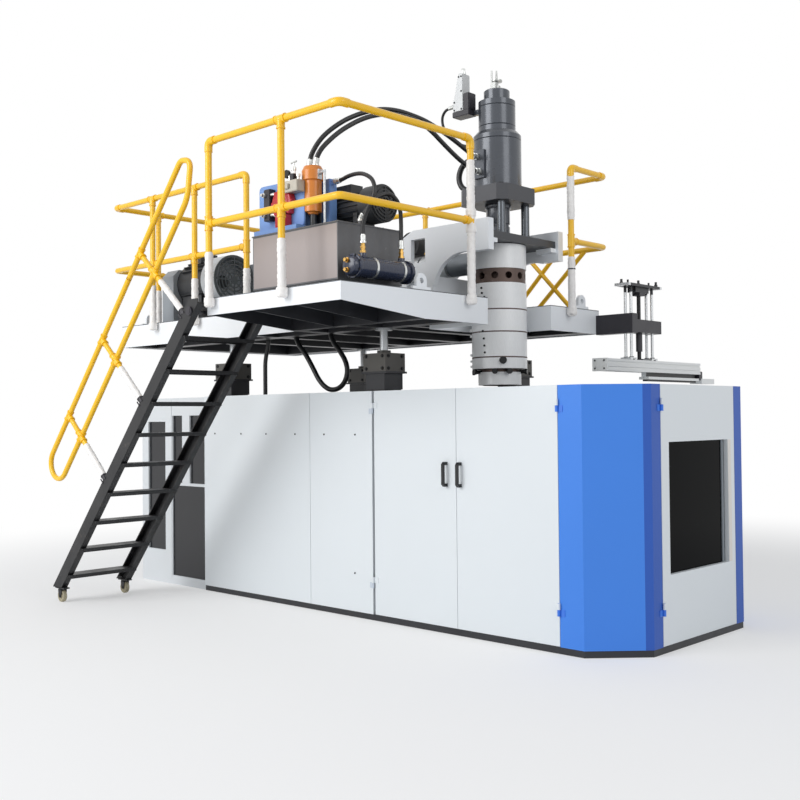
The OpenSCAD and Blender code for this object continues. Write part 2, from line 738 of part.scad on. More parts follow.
module control_cabinet() {
    x0 = -3600;
    x1 = -enc_left;
    y0 = -enc_half_w + 13;
    y1 = y0 + 560;
    z1 = enc_h - 5;
    mid = -3117;
    panes = [[x0 + 102, mid - 100, 300, 1480], [mid + 14, -2950, 925, z1 - 160], [-2835, x1 - 14, 925, z1 - 160]];
    color("#dfe3e6") difference() {
        block([x0, y0, 0], [x1, y1, z1]);
        block([x0 + 12, y0 + 42, 12], [x1 - 12, y1 - 12, z1 - 12]);
        block([mid - 3, y0 - eps, 60], [mid + 3, y0 + 8, z1 - 20]);
        for (w = panes) block([w[0], y0 - eps, w[2]], [w[1], y0 + 30, w[3]]);
        block([mid + 14, y0 - eps, 80], [x1 - 14, y0 + 30, 900]);
        for (z = [250 : 60 : 550]) block([x0 + 140, y1 - 5, z], [x1 - 600, y1 + eps, z + 14]);
    }
    color("#1a1b1f") {
        for (w = panes) block([w[0], y0 + 18, w[2]], [w[1], y0 + 30, w[3]]);
        block([mid + 14, y0 + 12, 80], [x1 - 14, y0 + 30, 900]);
    }
}

// Outline of the deck with the notch for the head, moved inwards by d
function deck_outline(d) = [
    [-deck_left + d, -main_front + d], [-cant_left + d, -main_front + d], [-cant_left + d, -front_y + d],
    [deck_right - d, -front_y + d], [deck_right - d, -notch_front - d], [-notch_x - d, -notch_front - d],
    [-notch_x - d, notch_rear + d], [deck_right - d, notch_rear + d], [deck_right - d, deck_rear - d],
    [-deck_left + d, deck_rear - d]
];

module deck_plate() {
    color("#6d7074") translate([0, 0, deck_under]) linear_extrude(deck_t) polygon(deck_outline(0));
}

// Tapered arm under the cantilevered part of the deck
module cantilever_arm(x, t) {
    translate([x, 0, 0]) rotate([90, 0, 90]) linear_extrude(t) polygon([
        [-front_y + fascia_t, deck_under], [-main_front, deck_under], [-main_front, beam_z0],
        [-main_front - 12, beam_z0], [-front_y + fascia_t, deck_z - front_fascia_h + 5]
    ]);
}

// Lug and pin that carry one side of the stair
module stair_lug() {
    half = stair_w / 2;
    block([pivot_x - 30, half - 62, pivot_z - 36], [-cant_left + 1, half - 49, pivot_z + 36]);
    bar_y(pivot_x, half - 55, pivot_z, 67, pivot_r);
    bar_y(pivot_x, half + 3, pivot_z, 9, pivot_r + 9);
}

module deck_frame() {
    x0 = -deck_left + fascia_t;
    right = deck_right - fascia_t;
    color("#1d1e21") {
        for (s = [-1, 1]) block([x0, s * column_y - beam_w / 2, beam_z0], [right, s * column_y + beam_w / 2, deck_under]);
        for (x = cross_xs) block([x - 45, -main_front + fascia_t, beam_z0], [x + 45, deck_rear - fascia_t, deck_under]);
        block([right - 90, -main_front, beam_z0 + 10], [right, -notch_front - fascia_t, deck_under]);
        block([right - 90, notch_rear + fascia_t, beam_z0 + 10], [right, deck_rear - fascia_t, deck_under]);
        block([-notch_x - fascia_t - 70, -column_y, beam_z0 + 10], [-notch_x - fascia_t, column_y, deck_under]);
        block([-cant_left, -main_front - 20, beam_z0], [right, -main_front + 60, deck_under]);
        for (x = [-cant_left, -620, -160, right - 12]) cantilever_arm(x, 12);
        translate([0, stair_y0 + stair_w / 2, 0]) for (m = [0, 1]) mirror([0, m, 0]) stair_lug();
    }
}

module fascia() {
    x0 = -deck_left;
    x1 = deck_right;
    z0 = deck_z - fascia_h;
    t = fascia_t;
    lug_r = 20;
    color("#e6ebef") {
        block([-cant_left, -front_y, deck_z - front_fascia_h], [x1, -front_y + t, deck_under]);
        block([x0, -main_front, z0], [-cant_left, -main_front + t, deck_under]);
        block([x0, -main_front + t + joint, z0], [x0 + t, deck_rear - t - joint, deck_under]);
        block([x0, deck_rear - t, z0], [x1, deck_rear, deck_under]);
        translate([x1 - t, 0, 0]) rotate([90, 0, 90]) linear_extrude(t) polygon([
            [-front_y + t + joint, deck_z - front_fascia_h], [-front_y + t + joint, deck_under], [-notch_front, deck_under],
            [-notch_front, z0], [-main_front - 12, z0]
        ]);
        block([x1 - t, notch_rear + t + joint, z0], [x1, deck_rear - t - joint, deck_under]);
        block([-notch_x - t, notch_rear, z0], [x1, notch_rear + t, deck_under]);
        block([-notch_x - t, -notch_front - t, z0], [x1 - t - joint, -notch_front, deck_under]);
        block([-notch_x - t, -notch_front + joint, z0], [-notch_x, notch_rear - joint, deck_under]);
    }
    color("#eef1f3") for (p = [[x1 - 26, 690], [x1 - 26, -1215], [-deck_left + 200, 690], [-deck_left + 200, -1000]])
        translate([p[0], p[1], deck_z]) difference() {
            union() {
                bar_x(0, 0, 60, 25, 50);
                block([0, -90, 0], [25, 90, 20]);
                block([0, -50, 0], [25, 50, 60]);
            }
            bar_x(-eps, 0, 60, 27, lug_r);
        }
}

// Ball-like key-clamp fitting on a railing joint
module fitting(p) { translate(p) sphere(r = fitting_r, $fn = 24); }

// Railing post with a clamp foot on the outside of the deck's edge; side points to the deck
module post(p, side, top) {
    rod([p[0], p[1], post_foot_z], [p[0], p[1], top], rail_r);
    for (z = [deck_z - 52, deck_z - 18]) translate([p[0], p[1], z])
        block([-30, -30, -10] + [min(side[0], 0), min(side[1], 0), 0] * (rail_out - 30),
              [30, 30, 10] + [max(side[0], 0), max(side[1], 0), 0] * (rail_out - 30));
}

// Top and middle rail between two points of the plan
module rails(a, b) {
    for (z = [mid_z, rail_z]) rod([a[0], a[1], z], [b[0], b[1], z], rail_r);
}

module front_railing() {
    y = front_line;
    x = right_line;
    start = -1065;
    end_y = -741;
    color("#f7b81e") {
        rails([start, y], [x, y]);
        rails([x, y], [x, end_y]);
        for (px = [start, -258]) {
            post([px, y], [0, 1], rail_z);
            for (z = [mid_z, rail_z]) fitting([px, y, z]);
        }
        post([x, end_y], [-1, 0], rail_z);
        for (z = [mid_z, rail_z]) {
            fitting([x, y, z]);
            fitting([x, end_y, z]);
        }
    }
}

module left_railing() {
    x = left_line;
    y = main_line;
    d_x = -1606;
    color("#f7b81e") {
        rails([d_x, y], [x, y]);
        rails([x, y], [x, rear_line - 300]);
        for (px = [d_x, -2315, -2950]) {
            post([px, y], [0, 1], rail_z);
            for (z = [mid_z, rail_z]) fitting([px, y, z]);
        }
        for (py = [main_line + 460, rear_line - 300]) {
            post([x, py], [1, 0], rail_z);
            for (z = [mid_z, rail_z]) fitting([x, py, z]);
        }
        for (z = [mid_z, rail_z]) fitting([x, y, z]);
    }
}

module rear_railing() {
    x = right_line;
    y = rear_line;
    end_y = 489;
    color("#f7b81e") {
        rails([x, y], [left_line, y]);
        rails([x, y], [x, end_y]);
        for (px = [left_line, -2600, -1650, -700]) {
            post([px, y], [0, -1], rail_z);
            for (z = [mid_z, rail_z]) fitting([px, y, z]);
        }
        post([x, end_y], [-1, 0], rail_z);
        for (z = [mid_z, rail_z]) {
            fitting([x, end_y, z]);
            fitting([x, y, z]);
        }
        rod([-700, y, deck_z + 60], [-100, y, mid_z], rail_r - 6);
        rod([-640, y, mid_z], [-40, y, deck_z + 20], rail_r - 6);
    }
}

// One stair channel in the XZ plane, from its flat top to its foot; s is where its flanges point
module stringer(s) {
    half = stringer_d / 2 / stair_sin;
    top_x = -cant_left - 12;
    slope = tan(stair_angle);
    cx0 = foot_x;
    cx1 = pivot_x;
    module side(in, len_y) {
        h = half - in / stair_sin;
        rotate([90, 0, 0]) linear_extrude(len_y) polygon([
            [cx0 - h, stair_foot_z], [cx0 + h, stair_foot_z],
            [top_x, pivot_z + (top_x - cx1 - h) * slope], [top_x, pivot_z + 84],
            [min(top_x, cx1 + 84 / slope - h), pivot_z + 84]
        ]);
    }
    difference() {
        translate([0, s > 0 ? stringer_f : 0, 0]) side(0, stringer_f);
        translate([0, s > 0 ? stringer_f + eps : -stringer_t, 0]) side(stringer_t, stringer_f);
    }
}

module stair_frame() {
    y0 = stair_y0;
    y1 = stair_y0 + stair_w;
    color("#1c1c1e") difference() {
        union() {
            translate([0, y0, 0]) stringer(1);
            translate([0, y1, 0]) stringer(-1);
            for (i = [0 : tread_count - 1]) {
                z = tread_z0 - i * tread_rise;
                x = pivot_x - (pivot_z - z) / tan(stair_angle);
                block([x - tread_depth / 2, y0 + stringer_t - eps, z - tread_t / 2],
                      [x + tread_depth / 2, y1 - stringer_t + eps, z + tread_t / 2]);
            }
            for (y = [y0, y1 - stringer_f])
                block([foot_x - 104, y, stair_foot_z - 8], [foot_x + 104, y + stringer_f, stair_foot_z + 3]);
            for (y = [y0 + 16, y1 - 56]) translate([wheel_x, y, 0]) {
                for (d = [-6, wheel_w + 4]) block([-24, d, wheel_r - 16], [24, d + 8, stair_foot_z]);
                block([-34, -6, 2 * wheel_r + 8], [34, wheel_w + 12, stair_foot_z]);
                bar_y(0, -8, wheel_r, wheel_w + 22, axle_r);
            }
        }
        bar_y(pivot_x, y0 - 10, pivot_z, stair_w + 20, pivot_r + run_gap);
    }
}

// A stair wheel whose inner face is at y
module stair_wheel(y) {
    translate([wheel_x, y, wheel_r]) rotate([-90, 0, 0]) rotate_extrude($fn = 64) polygon([
        [axle_r + run_gap, 0], [20, 0], [22, 5], [wheel_r - 14, 5], [wheel_r - 12, 0], [wheel_r - 3, 0],
        [wheel_r, 4], [wheel_r, wheel_w - 4], [wheel_r - 3, wheel_w], [wheel_r - 12, wheel_w],
        [wheel_r - 14, wheel_w - 5], [22, wheel_w - 5], [20, wheel_w], [axle_r + run_gap, wheel_w]
    ]);
}

module stair_wheel_front() { color("#8b8577") stair_wheel(stair_y0 + 16 + 3); }

module stair_wheel_rear() { color("#8b8577") stair_wheel(stair_y0 + stair_w - 56 + 3); }

// Handrail: two tubes that run with the stair and meet in a bend at each end
module stair_handrail() {
    y = stair_y0 - 30;
    r = rail_r - 3;
    up = [stair_cos, 0, stair_sin];
    out = [-stair_sin, 0, stair_cos];
    base = [pivot_x, y, pivot_z];
    function at(a, o) = base + a * up + o * out;
    outer_o = 790;
    inner_o = 600;
    low = -2030;
    bend_r = (outer_o - inner_o) / 2;
    knee = at(480, inner_o);
    peak = [knee[0], y, 3290];
    color("#f2ac18") {
        rod(at(low, outer_o), at(860, outer_o), r);
        rod(at(low, inner_o), knee, r);
        rod(knee, [knee[0], y, at(860, outer_o)[2] - 60], r);
        rod(at(860, outer_o), [knee[0], y, at(860, outer_o)[2] - 60], r);
        for (p = [knee, at(860, outer_o), [knee[0], y, at(860, outer_o)[2] - 60]]) translate(p) sphere(r = r + 2, $fn = 24);
        translate(at(low + 3, inner_o + bend_r)) rotate([90, 0, 0]) rotate([0, 0, stair_angle + 90])
            rotate_extrude(angle = 180) translate([bend_r, 0]) circle(r = r + 1, $fn = 24);
    }
    color("#ded9d4") for (strut = [[-1600, 10], [-800, 10], [30, 60]]) {
        a = strut[0];
        foot = strut[1];
        rod(at(a, foot - 20), at(a, outer_o), r - 1);
        for (o = [inner_o, outer_o]) translate(at(a, o)) sphere(r = r + 7, $fn = 24);
        translate(at(a, foot)) rotate([0, -stair_angle, 0]) block([-38, -12, -16], [38, 30, 16]);
    }
}

module main_motor() {
    x1 = motor_fan_x - 200;
    x0 = guard_x1;
    r = 190;
    color("#2b2d30") {
        bar_x(x0, motor_y, motor_z, x1 - x0, r);
        for (a = [-150 : 15 : -30], s = [0, 1]) translate([x0 + 50, motor_y, motor_z]) rotate([s > 0 ? a : -a, 0, 0])
            block([0, r - 4, -3], [x1 - x0 - 60, r + 24, 3]);
        block([x0 + 60, motor_y - 170, deck_z + 60], [x1 - 60, motor_y + 170, motor_z - 120]);
        block([x0 + 110, motor_y - 120, motor_z + r - 20], [x0 + 270, motor_y + 60, motor_z + r + 70]);
    }
    color("#1d1e21") for (y = [motor_y - 150, motor_y + 110]) block([x0, y, deck_z], [x1, y + 40, deck_z + 60]);
}

module motor_cowl() {
    x0 = motor_fan_x - 200;
    color("#b7bcc2") difference() {
        bar_x(x0, motor_y, motor_z, 200, cowl_r);
        bar_x(x0 + 30, motor_y, motor_z, 166, cowl_r - 6);
        bar_x(x0 - eps, motor_y, motor_z, 40, 60);
        for (r = [60, 95, 130, 165, 200]) translate([motor_fan_x - 8, motor_y, motor_z]) rotate([0, 90, 0])
            difference() {
                cylinder(r = r, h = 10);
                translate([0, 0, -eps]) cylinder(r = r - 22, h = 12);
                for (a = [0 : 45 : 135]) rotate([0, 0, a]) translate([-210, -6, -eps]) cube([420, 12, 12]);
            }
    }
}

module belt_guard() {
    y0 = motor_y - 230;
    y1 = 240;
    top = 2860;
    c = 60;
    color("#8f959b") translate([guard_x0, 0, 0]) rotate([90, 0, 90]) difference() {
        linear_extrude(guard_x1 - guard_x0) polygon([
            [y0, deck_z], [y1, deck_z], [y1, 2960 - c], [y1 - c, 2960], [-260, 2960], [-330, top], [y0 + c, top], [y0, top - c]
        ]);
        for (i = [0 : 5]) translate([y0 + 90 + i * 44, deck_z + 150, guard_x1 - guard_x0 - 12]) cube([18, 220, 20]);
    }
}

module gearbox() {
    color("#5a6067") {
        block([gear_x0, -210, deck_z], [gear_x1 - 120, 210, deck_z + 60]);
        block([gear_x0 + 20, -180, deck_z + 60], [gear_x1 - 140, 180, barrel_z + 250]);
        block([gear_x0 + 6, -196, barrel_z - 16], [gear_x1 - 126, 196, barrel_z + 16]);
        bar_x(gear_x1 - 141, 0, barrel_z, 120, 165);
        for (a = [0 : 45 : 315]) translate([gear_x1 - 22, 130 * cos(a), barrel_z + 130 * sin(a)]) rotate([0, 90, 0]) cylinder(r = 12, h = 22, $fn = 6);
    }
}

module barrel() {
    throat_x = barrel_x0 + 145;
    len_x = barrel_x1 - barrel_x0;
    r = barrel_r;
    bore = screw_r + body_gap;
    zone = [for (z = heat_zones) each [[r, z[0] - barrel_x0], [r + 22, z[0] - barrel_x0], [r + 22, z[1] - barrel_x0], [r, z[1] - barrel_x0]]];
    color("#8a8f94") difference() {
        union() {
            translate([barrel_x0, 0, barrel_z]) rotate([0, 90, 0]) rotate([0, 0, 37]) rotate_extrude()
                polygon(concat([[bore, 0], [150, 0], [150, 50], [r, 50]], zone, [[r, len_x], [0, len_x], [0, len_x - 60], [bore, len_x - 60]]));
            difference() {
                union() {
                    block([throat_x - 75, -110, barrel_z - 110], [throat_x + 75, 110, barrel_z + 150]);
                    block([throat_x - 105, -125, barrel_z + 150], [throat_x + 105, 125, barrel_z + 172]);
                }
                bar_x(throat_x - 120, 0, barrel_z, 240, r - 20);
            }
            for (x = foot_xs) {
                block([x - 40, -120, deck_z], [x + 40, 120, deck_z + 16]);
                block([x - 12, -60, deck_z + 15], [x + 12, 60, barrel_z - r + 26]);
            }
        }
        bar_z(throat_x, 0, barrel_z + 60, 200, 38);
        block([throat_x - 46, -40, barrel_z + 5], [throat_x + 46, 40, barrel_z + 60]);
        for (x = [-85, 85], y = [-95, 95]) bar_z(throat_x + x, y, barrel_z + 140, 60, 7);
    }
}

module barrel_blowers() {
    color("#17181b") for (z = heat_zones) translate([(z[0] + z[1]) / 2, 0, 0]) {
        translate([0, -40, barrel_z + barrel_r + 22 + 110]) {
            rotate([-90, 0, 0]) cylinder(r = 104, h = 100);
            rotate([90, 0, 0]) cylinder(r = 46, h = 70);
        }
        block([-55, -60, barrel_z + barrel_r + 22], [55, 90, barrel_z + barrel_r + 60]);
    }
}

module extruder_screw() {
    len_x = barrel_x1 - barrel_x0 - 90;
    turns = 15;
    color("#c2c5c8") {
        translate([barrel_x0 - 12, 0, barrel_z]) rotate([0, 90, 0]) cylinder(r = screw_r - 12, h = len_x);
        translate([barrel_x0 + 30, 0, barrel_z]) rotate([0, 90, 0])
            linear_extrude(len_x - 60, twist = -360 * turns, slices = turns * 10, $fn = 4) polygon([
                [0, 6], [screw_r - 0.4, 4], [screw_r - 0.4, -4], [0, -6]
            ]);
    }
}

// Side plate of the head's support: a column on the deck with a rounded window and an arm over the notch
module support_plate() {
    foot_x = -290;
    arm_z = 2735;
    linear_extrude(support_t) difference() {
        polygon([
            [support_x0, deck_z], [foot_x, deck_z], [foot_x, arm_z - 230], [support_x1 - 165, arm_z - 10],
            [support_x1 - 165, support_top], [support_x0 + 130, support_top], [support_x0, support_top - 60]
        ]);
        translate([foot_x + 300, arm_z - 300]) circle(r = 300);
        translate([support_x0 + 110, 2700]) square([150, 185]);
        translate([support_x0 + 60, deck_z + 40]) square([120, 180]);
    }
}

module head_support() {
    color("#eceff2") for (m = [0, 1]) mirror([0, m, 0]) {
        translate([0, -support_y0, 0]) rotate([90, 0, 0]) support_plate();
        block([support_x1 - 165, -support_y0 - 62, 2724], [support_x1, -support_y0, support_top]);
        block([support_x1 - 165, -support_y0, yoke_z - 32], [support_x1 - 20, -support_y0 + 70, yoke_z]);
        block([support_x0 + 20, -support_y0 - support_t - 30, deck_z], [-300, -support_y0 + 40, deck_z + 16]);
    }
    color("#eceff2") for (x = [support_x0 + 20, -340]) block([x, -support_y0, deck_z + 16], [x + 20, support_y0, barrel_z - barrel_r - 40]);
}

module head_core() {
    color("#5e4038") difference() {
        rotate_extrude($fn = 96) polygon([
            [60, die_z], [130, die_z], [150, die_z + 20], [150, 1866], [shell_r - 24, 1868], [shell_r - 24, ring_z0],
            [shell_r - 6, ring_z0], [shell_r - 6, ring_z1], [shell_r - 24, ring_z1], [shell_r - 24, yoke_z - 2],
            [shell_r - 60, yoke_z], [60, yoke_z]
        ]);
        for (a = [0 : 30 : 330]) rotate([0, 0, a]) bar_x(120, 0, (ring_z0 + ring_z1) / 2, 120, 27);
        bar_x(-240, 0, barrel_z, 240 + barrel_x1, barrel_r);
    }
}

// Heater band: a sheet sleeve with a clamp at its split, turned to face -X
module heater_band(z0, z1, r) {
    difference() {
        bar_z(0, 0, z0, z1 - z0, r);
        bar_z(0, 0, z0 - eps, z1 - z0 + 2 * eps, r - 24);
        block([-r - eps, -5, z0 - eps], [-r + 40, 5, z1 + eps]);
    }
    for (s = [-1, 1], z = [z0 + 22, z1 - 22]) bar_y(-r - 6, s > 0 ? 6 : -30, z, 24, 8);
}

module heater_bands() {
    color("#c9cbcc") {
        for (z = band_zs) if (z[1] <= ring_z0) rotate([0, 0, 40]) heater_band(z[0], z[1], shell_r);
        difference() {
            rotate([0, 0, 40]) heater_band(ring_z1, yoke_z - 4, shell_r);
            bar_x(-260, 0, barrel_z, 120, barrel_r);
        }
    }
    color("#b9bcbd") difference() {
        bar_z(0, 0, die_z + 4, 98, 166);
        bar_z(0, 0, die_z + 3, 100, 150);
        block([-170, -6, die_z], [-145, 6, die_z + 120]);
    }
}

module head_plates() {
    q = top_plate_half;
    c = 62;
    c_rod = tie_rod_c;
    color("#4a4b4e") {
        translate([0, 0, top_plate_z0]) difference() {
            linear_extrude(top_plate_z1 - top_plate_z0) polygon([
                [-q, -q + c], [-q + c, -q], [q - c, -q], [q, -q + c], [q, q - c], [q - c, q], [-q + c, q], [-q, q - c]
            ]);
            translate([0, 0, -eps]) cylinder(r = 70, h = 200);
        }
        difference() {
            block([-yoke_x1, -yoke_half, yoke_z], [yoke_x1, yoke_half, yoke_top]);
            bar_z(0, 0, yoke_z - eps, yoke_t + 2 * eps, 60);
        }
    }
    color("#54585d") {
        for (x = [-c_rod, c_rod], y = [-c_rod, c_rod]) bar_z(x, y, yoke_top - 10, top_plate_z0 - yoke_top + 20, tie_rod_r);
        bar_z(0, 0, yoke_top - 1, 47, 84);
        bar_z(0, 0, yoke_top, top_plate_z0 - yoke_top, 75);
    }
}

module head_cylinder() {
    color("#5b5f66") rotate_extrude($fn = 96) polygon([
        [0, top_plate_z1], [186, top_plate_z1], [186, 3636], [182, 3640], [186, 3644], [186, 3676], [160, 3706],
        [144, 3706], [144, 3748], [140, 3752], [144, 3756], [144, 3902], [140, 3906], [144, 3910], [144, 3950],
        [101, 3952], [101, 4032], [92, 4040], [30, 4040], [30, 4078], [14, 4080], [14, 4110], [44, 4112],
        [44, 4124], [10, 4126], [6, 4200], [0, 4200]
    ]);
    color("#5b5f66") {
        block([-24, -46, 4050], [24, -20, 4100]);
        bar_z(-18, -38, 4100, 96, 7);
        block([-76, -205, 3330], [30, -150, 3546]);
        block([-215, -60, 3490], [-150, 20, 3690]);
        block([-150, -95, 3862], [-100, -60, 3902]);
        block([-215, -60, top_plate_z1], [-150, 20, 3330]);
    }
}

module servo_valve() {
    color("#7d8186") {
        block([-319, -165, 3860], [-150, -60, 3905]);
        block([-319, -155, 3904], [-215, -65, 4060]);
        block([-300, -145, 4059], [-225, -75, 4205]);
        bar_x(-343, -110, 3965, 25, 15);
    }
    color("#303338") block([-216, -150, 3904], [-160, -60, 4040]);
}

module oil_tank() {
    color("#a39a98") difference() {
        union() {
            block([tank_x0, tank_y0, tank_z0], [tank_x1, tank_y1, tank_z1 - 8]);
            block([tank_x0 - 6, tank_y0 - 6, tank_z1 - 8], [tank_x1 + 6, tank_y1 + 6, tank_z1]);
        }
        block([tank_x0 + 5, tank_y0 + 5, tank_z0 + 5], [tank_x1 - 5, tank_y1 - 5, tank_z1 - 13]);
    }
    color("#222326") {
        for (y = [tank_y0 + 10, tank_y1 - 60]) block([tank_x0 + 20, y, deck_z], [tank_x1 - 20, y + 50, tank_z0]);
        bar_z(52, -1540, tank_z1, 28, 20);
    }
}

module pump_motor() {
    x0 = -400;
    x1 = -20;
    r = 96;
    color("#2c2f33") {
        bar_x(x0, pump_y, pump_z, x1 - x0, r);
        for (a = [-60 : 20 : 240]) if (abs(a - 90) > 25) translate([x0 + 16, pump_y, pump_z]) rotate([a, 0, 0]) block([0, r - 3, -2.5], [x1 - x0 - 32, r + 14, 2.5]);
        block([x0 + 90, pump_y - 62, pump_z + r - 12], [x0 + 250, pump_y + 50, pump_z + r + 66]);
        for (x = [x0 + 50, x1 - 90]) block([x, pump_y - 110, tank_z1], [x + 40, pump_y + 110, tank_z1 + 18]);
        for (x = [x0 + 50, x1 - 90]) block([x, pump_y - 84, tank_z1 + 18], [x + 40, pump_y + 84, pump_z - 30]);
    }
    color("#1b1c1f") difference() {
        union() {
            bar_x(x1, pump_y, pump_z, 126, 130);
            bar_x(x1 + 126, pump_y, pump_z, 14, 118);
        }
        for (k = [30, 54, 78, 102]) translate([x1 + 132, pump_y, pump_z]) rotate([0, 90, 0]) difference() {
            cylinder(r = k + 8, h = 12);
            translate([0, 0, -eps]) cylinder(r = k - 6, h = 14);
            for (a = [0 : 60 : 120]) rotate([0, 0, a]) translate([-130, -4, -eps]) cube([260, 8, 14]);
        }
    }
    color("#23262a") {
        bar_x(x0 - 60, pump_y, pump_z, 60, 118);
        bar_x(x0 - 190, pump_y, pump_z, 130, 62);
        block([x0 - 170, pump_y - 50, pump_z + 30], [x0 - 90, pump_y + 50, pump_z + 84]);
    }
}

module pump_guard() {
    gy = -1690;
    z0 = tank_z1;
    color("#4f74c8") {
        translate([-822, gy + 14, z0]) rotate([90, 0, 0]) linear_extrude(14) polygon([
            [0, 40], [30, 0], [420, 0], [420, 410], [110, 412], [34, 388], [0, 356]
        ]);
        block([-792, gy - 84, z0], [-402, gy, z0 + 34]);
        block([-400, -1550, z0], [-240, -1482, z0 + 378]);
        bar_x(-241, -1520, z0 + 340, 26, 22);
    }
    color("#b5202a") {
        bar_y(-650, gy - 70, z0 + 226, 71, 98);
        bar_y(-650, gy - 92, z0 + 226, 23, 60);
        block([-700, gy - 60, z0 + 300], [-600, gy, z0 + 366]);
        block([-690, gy - 60, z0 + 33], [-610, gy, z0 + 140]);
    }
    color("#b7b2a6") {
        block([-580, gy - 80, z0 + 360], [-420, gy, z0 + 424]);
        rod([-770, gy - 40, z0 + 33], [-770, gy - 40, z0 + 300], 12);
        rod([-770, gy - 40, z0 + 290], [-700, gy - 40, z0 + 330], 12);
    }
    color("#303236") {
        block([-512, gy - 70, z0 + 33], [-482, gy, z0 + 361]);
        rod([-500, gy - 40, z0 + 423], [-516, gy - 40, z0 + 520], 26);
        rod([-516, gy - 40, z0 + 500], [-590, gy - 40, z0 + 545], 20);
        rod([-540, gy - 40, z0 + 590], [-470, gy - 40, z0 + 600], 7);
        rod([-508, gy - 40, z0 + 500], [-506, gy - 40, z0 + 594], 7);
    }
}

module oil_filter() {
    color("#d9822b") translate([filter_x, filter_y, 0]) {
        rotate_extrude() polygon([
            [0, filter_z0], [34, filter_z0], [40, filter_z0 + 12], [62, filter_z0 + 16], [62, filter_z1 - 110],
            [76, filter_z1 - 104], [76, filter_z1 - 40], [60, filter_z1 - 8], [0, filter_z1 - 8]
        ]);
        for (x = [-32, 31]) bar_z(x, 0, filter_z1 - 20, 12, 27);
    }
    color("#55585c") {
        block([filter_x - 110, filter_y + 50, tank_z1], [filter_x + 20, filter_y + 62, filter_z1 - 40]);
        bar_z(filter_x, filter_y, tank_z1, filter_z0 - tank_z1, 22);
        rod([filter_x + 60, filter_y, filter_z1 - 60], [filter_x + 120, filter_y, filter_z1 - 60], 14);
        rod([filter_x + 120, filter_y, filter_z1 - 46], [filter_x + 120, filter_y, tank_z1], 9);
    }
}

module oil_cooler() {
    y0 = -1790;
    y1 = -1170;
    color("#232a3d") {
        bar_y(cooler_x, y0, cooler_z, y1 - y0, cooler_r - 4);
        for (y = [y0, y1 - 70]) bar_y(cooler_x, y, cooler_z, 70, cooler_r);
        for (y = [-1650, -1290]) bar_z(cooler_x, y, cooler_z + cooler_r - 12, 40, 26);
        for (x = [-30, 30]) bar_y(cooler_x + x, y0 - 26, cooler_z, 30, 17);
    }
    color("#d9dde0") for (y = [-1590, -1330]) difference() {
        union() {
            bar_y(cooler_x, y, cooler_z, 24, cooler_r + 2);
            block([tank_x1, y, cooler_z - 40], [cooler_x - cooler_r + 12, y + 24, cooler_z + 40]);
        }
        bar_y(cooler_x, y - eps, cooler_z, 26, cooler_r - 4);
    }
    color("#c39a55") for (y = [-1650, -1290]) {
        bar_z(cooler_x, y, cooler_z + cooler_r + 28, 26, 20);
        translate([cooler_x, y, cooler_z + cooler_r + 54]) cylinder(r = 23, h = 12, $fn = 6);
        bar_z(cooler_x, y, cooler_z + cooler_r + 66, 14, 15);
    }
}

module takeout_beam() {
    color("#2b2930") difference() {
        union() {
            block([beam_x0, beam_y0, takeout_z0], [beam_x1, beam_y1, takeout_z1]);
            block([guide_xs[0] - 30, beam_y1, block_z0], [beam_x1, 1335, block_z1]);
            bar_z(584, 1085, block_z0 - 150, 150, 26);
        }
        for (x = guide_xs, y = guide_ys) bar_z(x, y, takeout_z0 - eps, 400, guide_r + run_gap);
        bar_z(584, 1085, block_z0 - 160, 300, 10 + run_gap);
    }
}

module takeout_lift() {
    color("#cfd2d4") for (x = guide_xs, y = guide_ys) bar_z(x, y, arm_z1 + 20, lift_plate_z - arm_z1 - 20, guide_r);
    color("#18191c") {
        block([520, 830, lift_plate_z], [650, 1340, lift_plate_z + 22]);
        block([546, 980, lift_plate_z - 42], [622, 1180, lift_plate_z]);
        for (p = [[540, 900], [584, 1085], [625, 1290]]) {
            translate([p[0], p[1], lift_plate_z + 22]) cylinder(r = 16, h = 16, $fn = 6);
            bar_z(p[0], p[1], lift_plate_z + 38, 24, 10);
        }
        bar_z(584, 1085, block_z1 - 190, lift_plate_z - 42 - block_z1 + 190, 10);
        for (y = guide_ys) block([536, y - 46, arm_z1], [632, y + 46, arm_z1 + 20]);
    }
}

module takeout_arm() {
    slot = 14;
    color("#b3b3b3") {
        translate([arm_x0, arm_y1, arm_z0]) rotate([90, 0, 0]) linear_extrude(arm_y1 - arm_y0 - 20) difference() {
            square([arm_w, arm_h]);
            for (z = [arm_h * 0.28, arm_h * 0.72]) for (x = [-eps, arm_w - 7]) translate([x, z - slot / 2]) square([7 + eps, slot]);
            for (x = [arm_w * 0.3, arm_w * 0.7]) translate([x - slot / 2, -eps]) square([slot, 7 + eps]);
            for (x = [arm_w * 0.3, arm_w * 0.7]) translate([x, arm_h / 2]) circle(r = 13);
        }
        difference() {
            block([arm_x0 - 4, arm_y0, arm_z0 - 4], [arm_x0 + arm_w + 4, arm_y0 + 20, arm_z1 + 2]);
            for (x = [22, arm_w - 22], z = [20, arm_h - 20]) bar_y(arm_x0 + x, arm_y0 - eps, arm_z0 + z, 10, 6);
        }
    }
    color("#1b1c1f") block([arm_x0 + 40, 1150, arm_z0 - 34], [arm_x0 + arm_w - 40, 1960, arm_z0]);
}

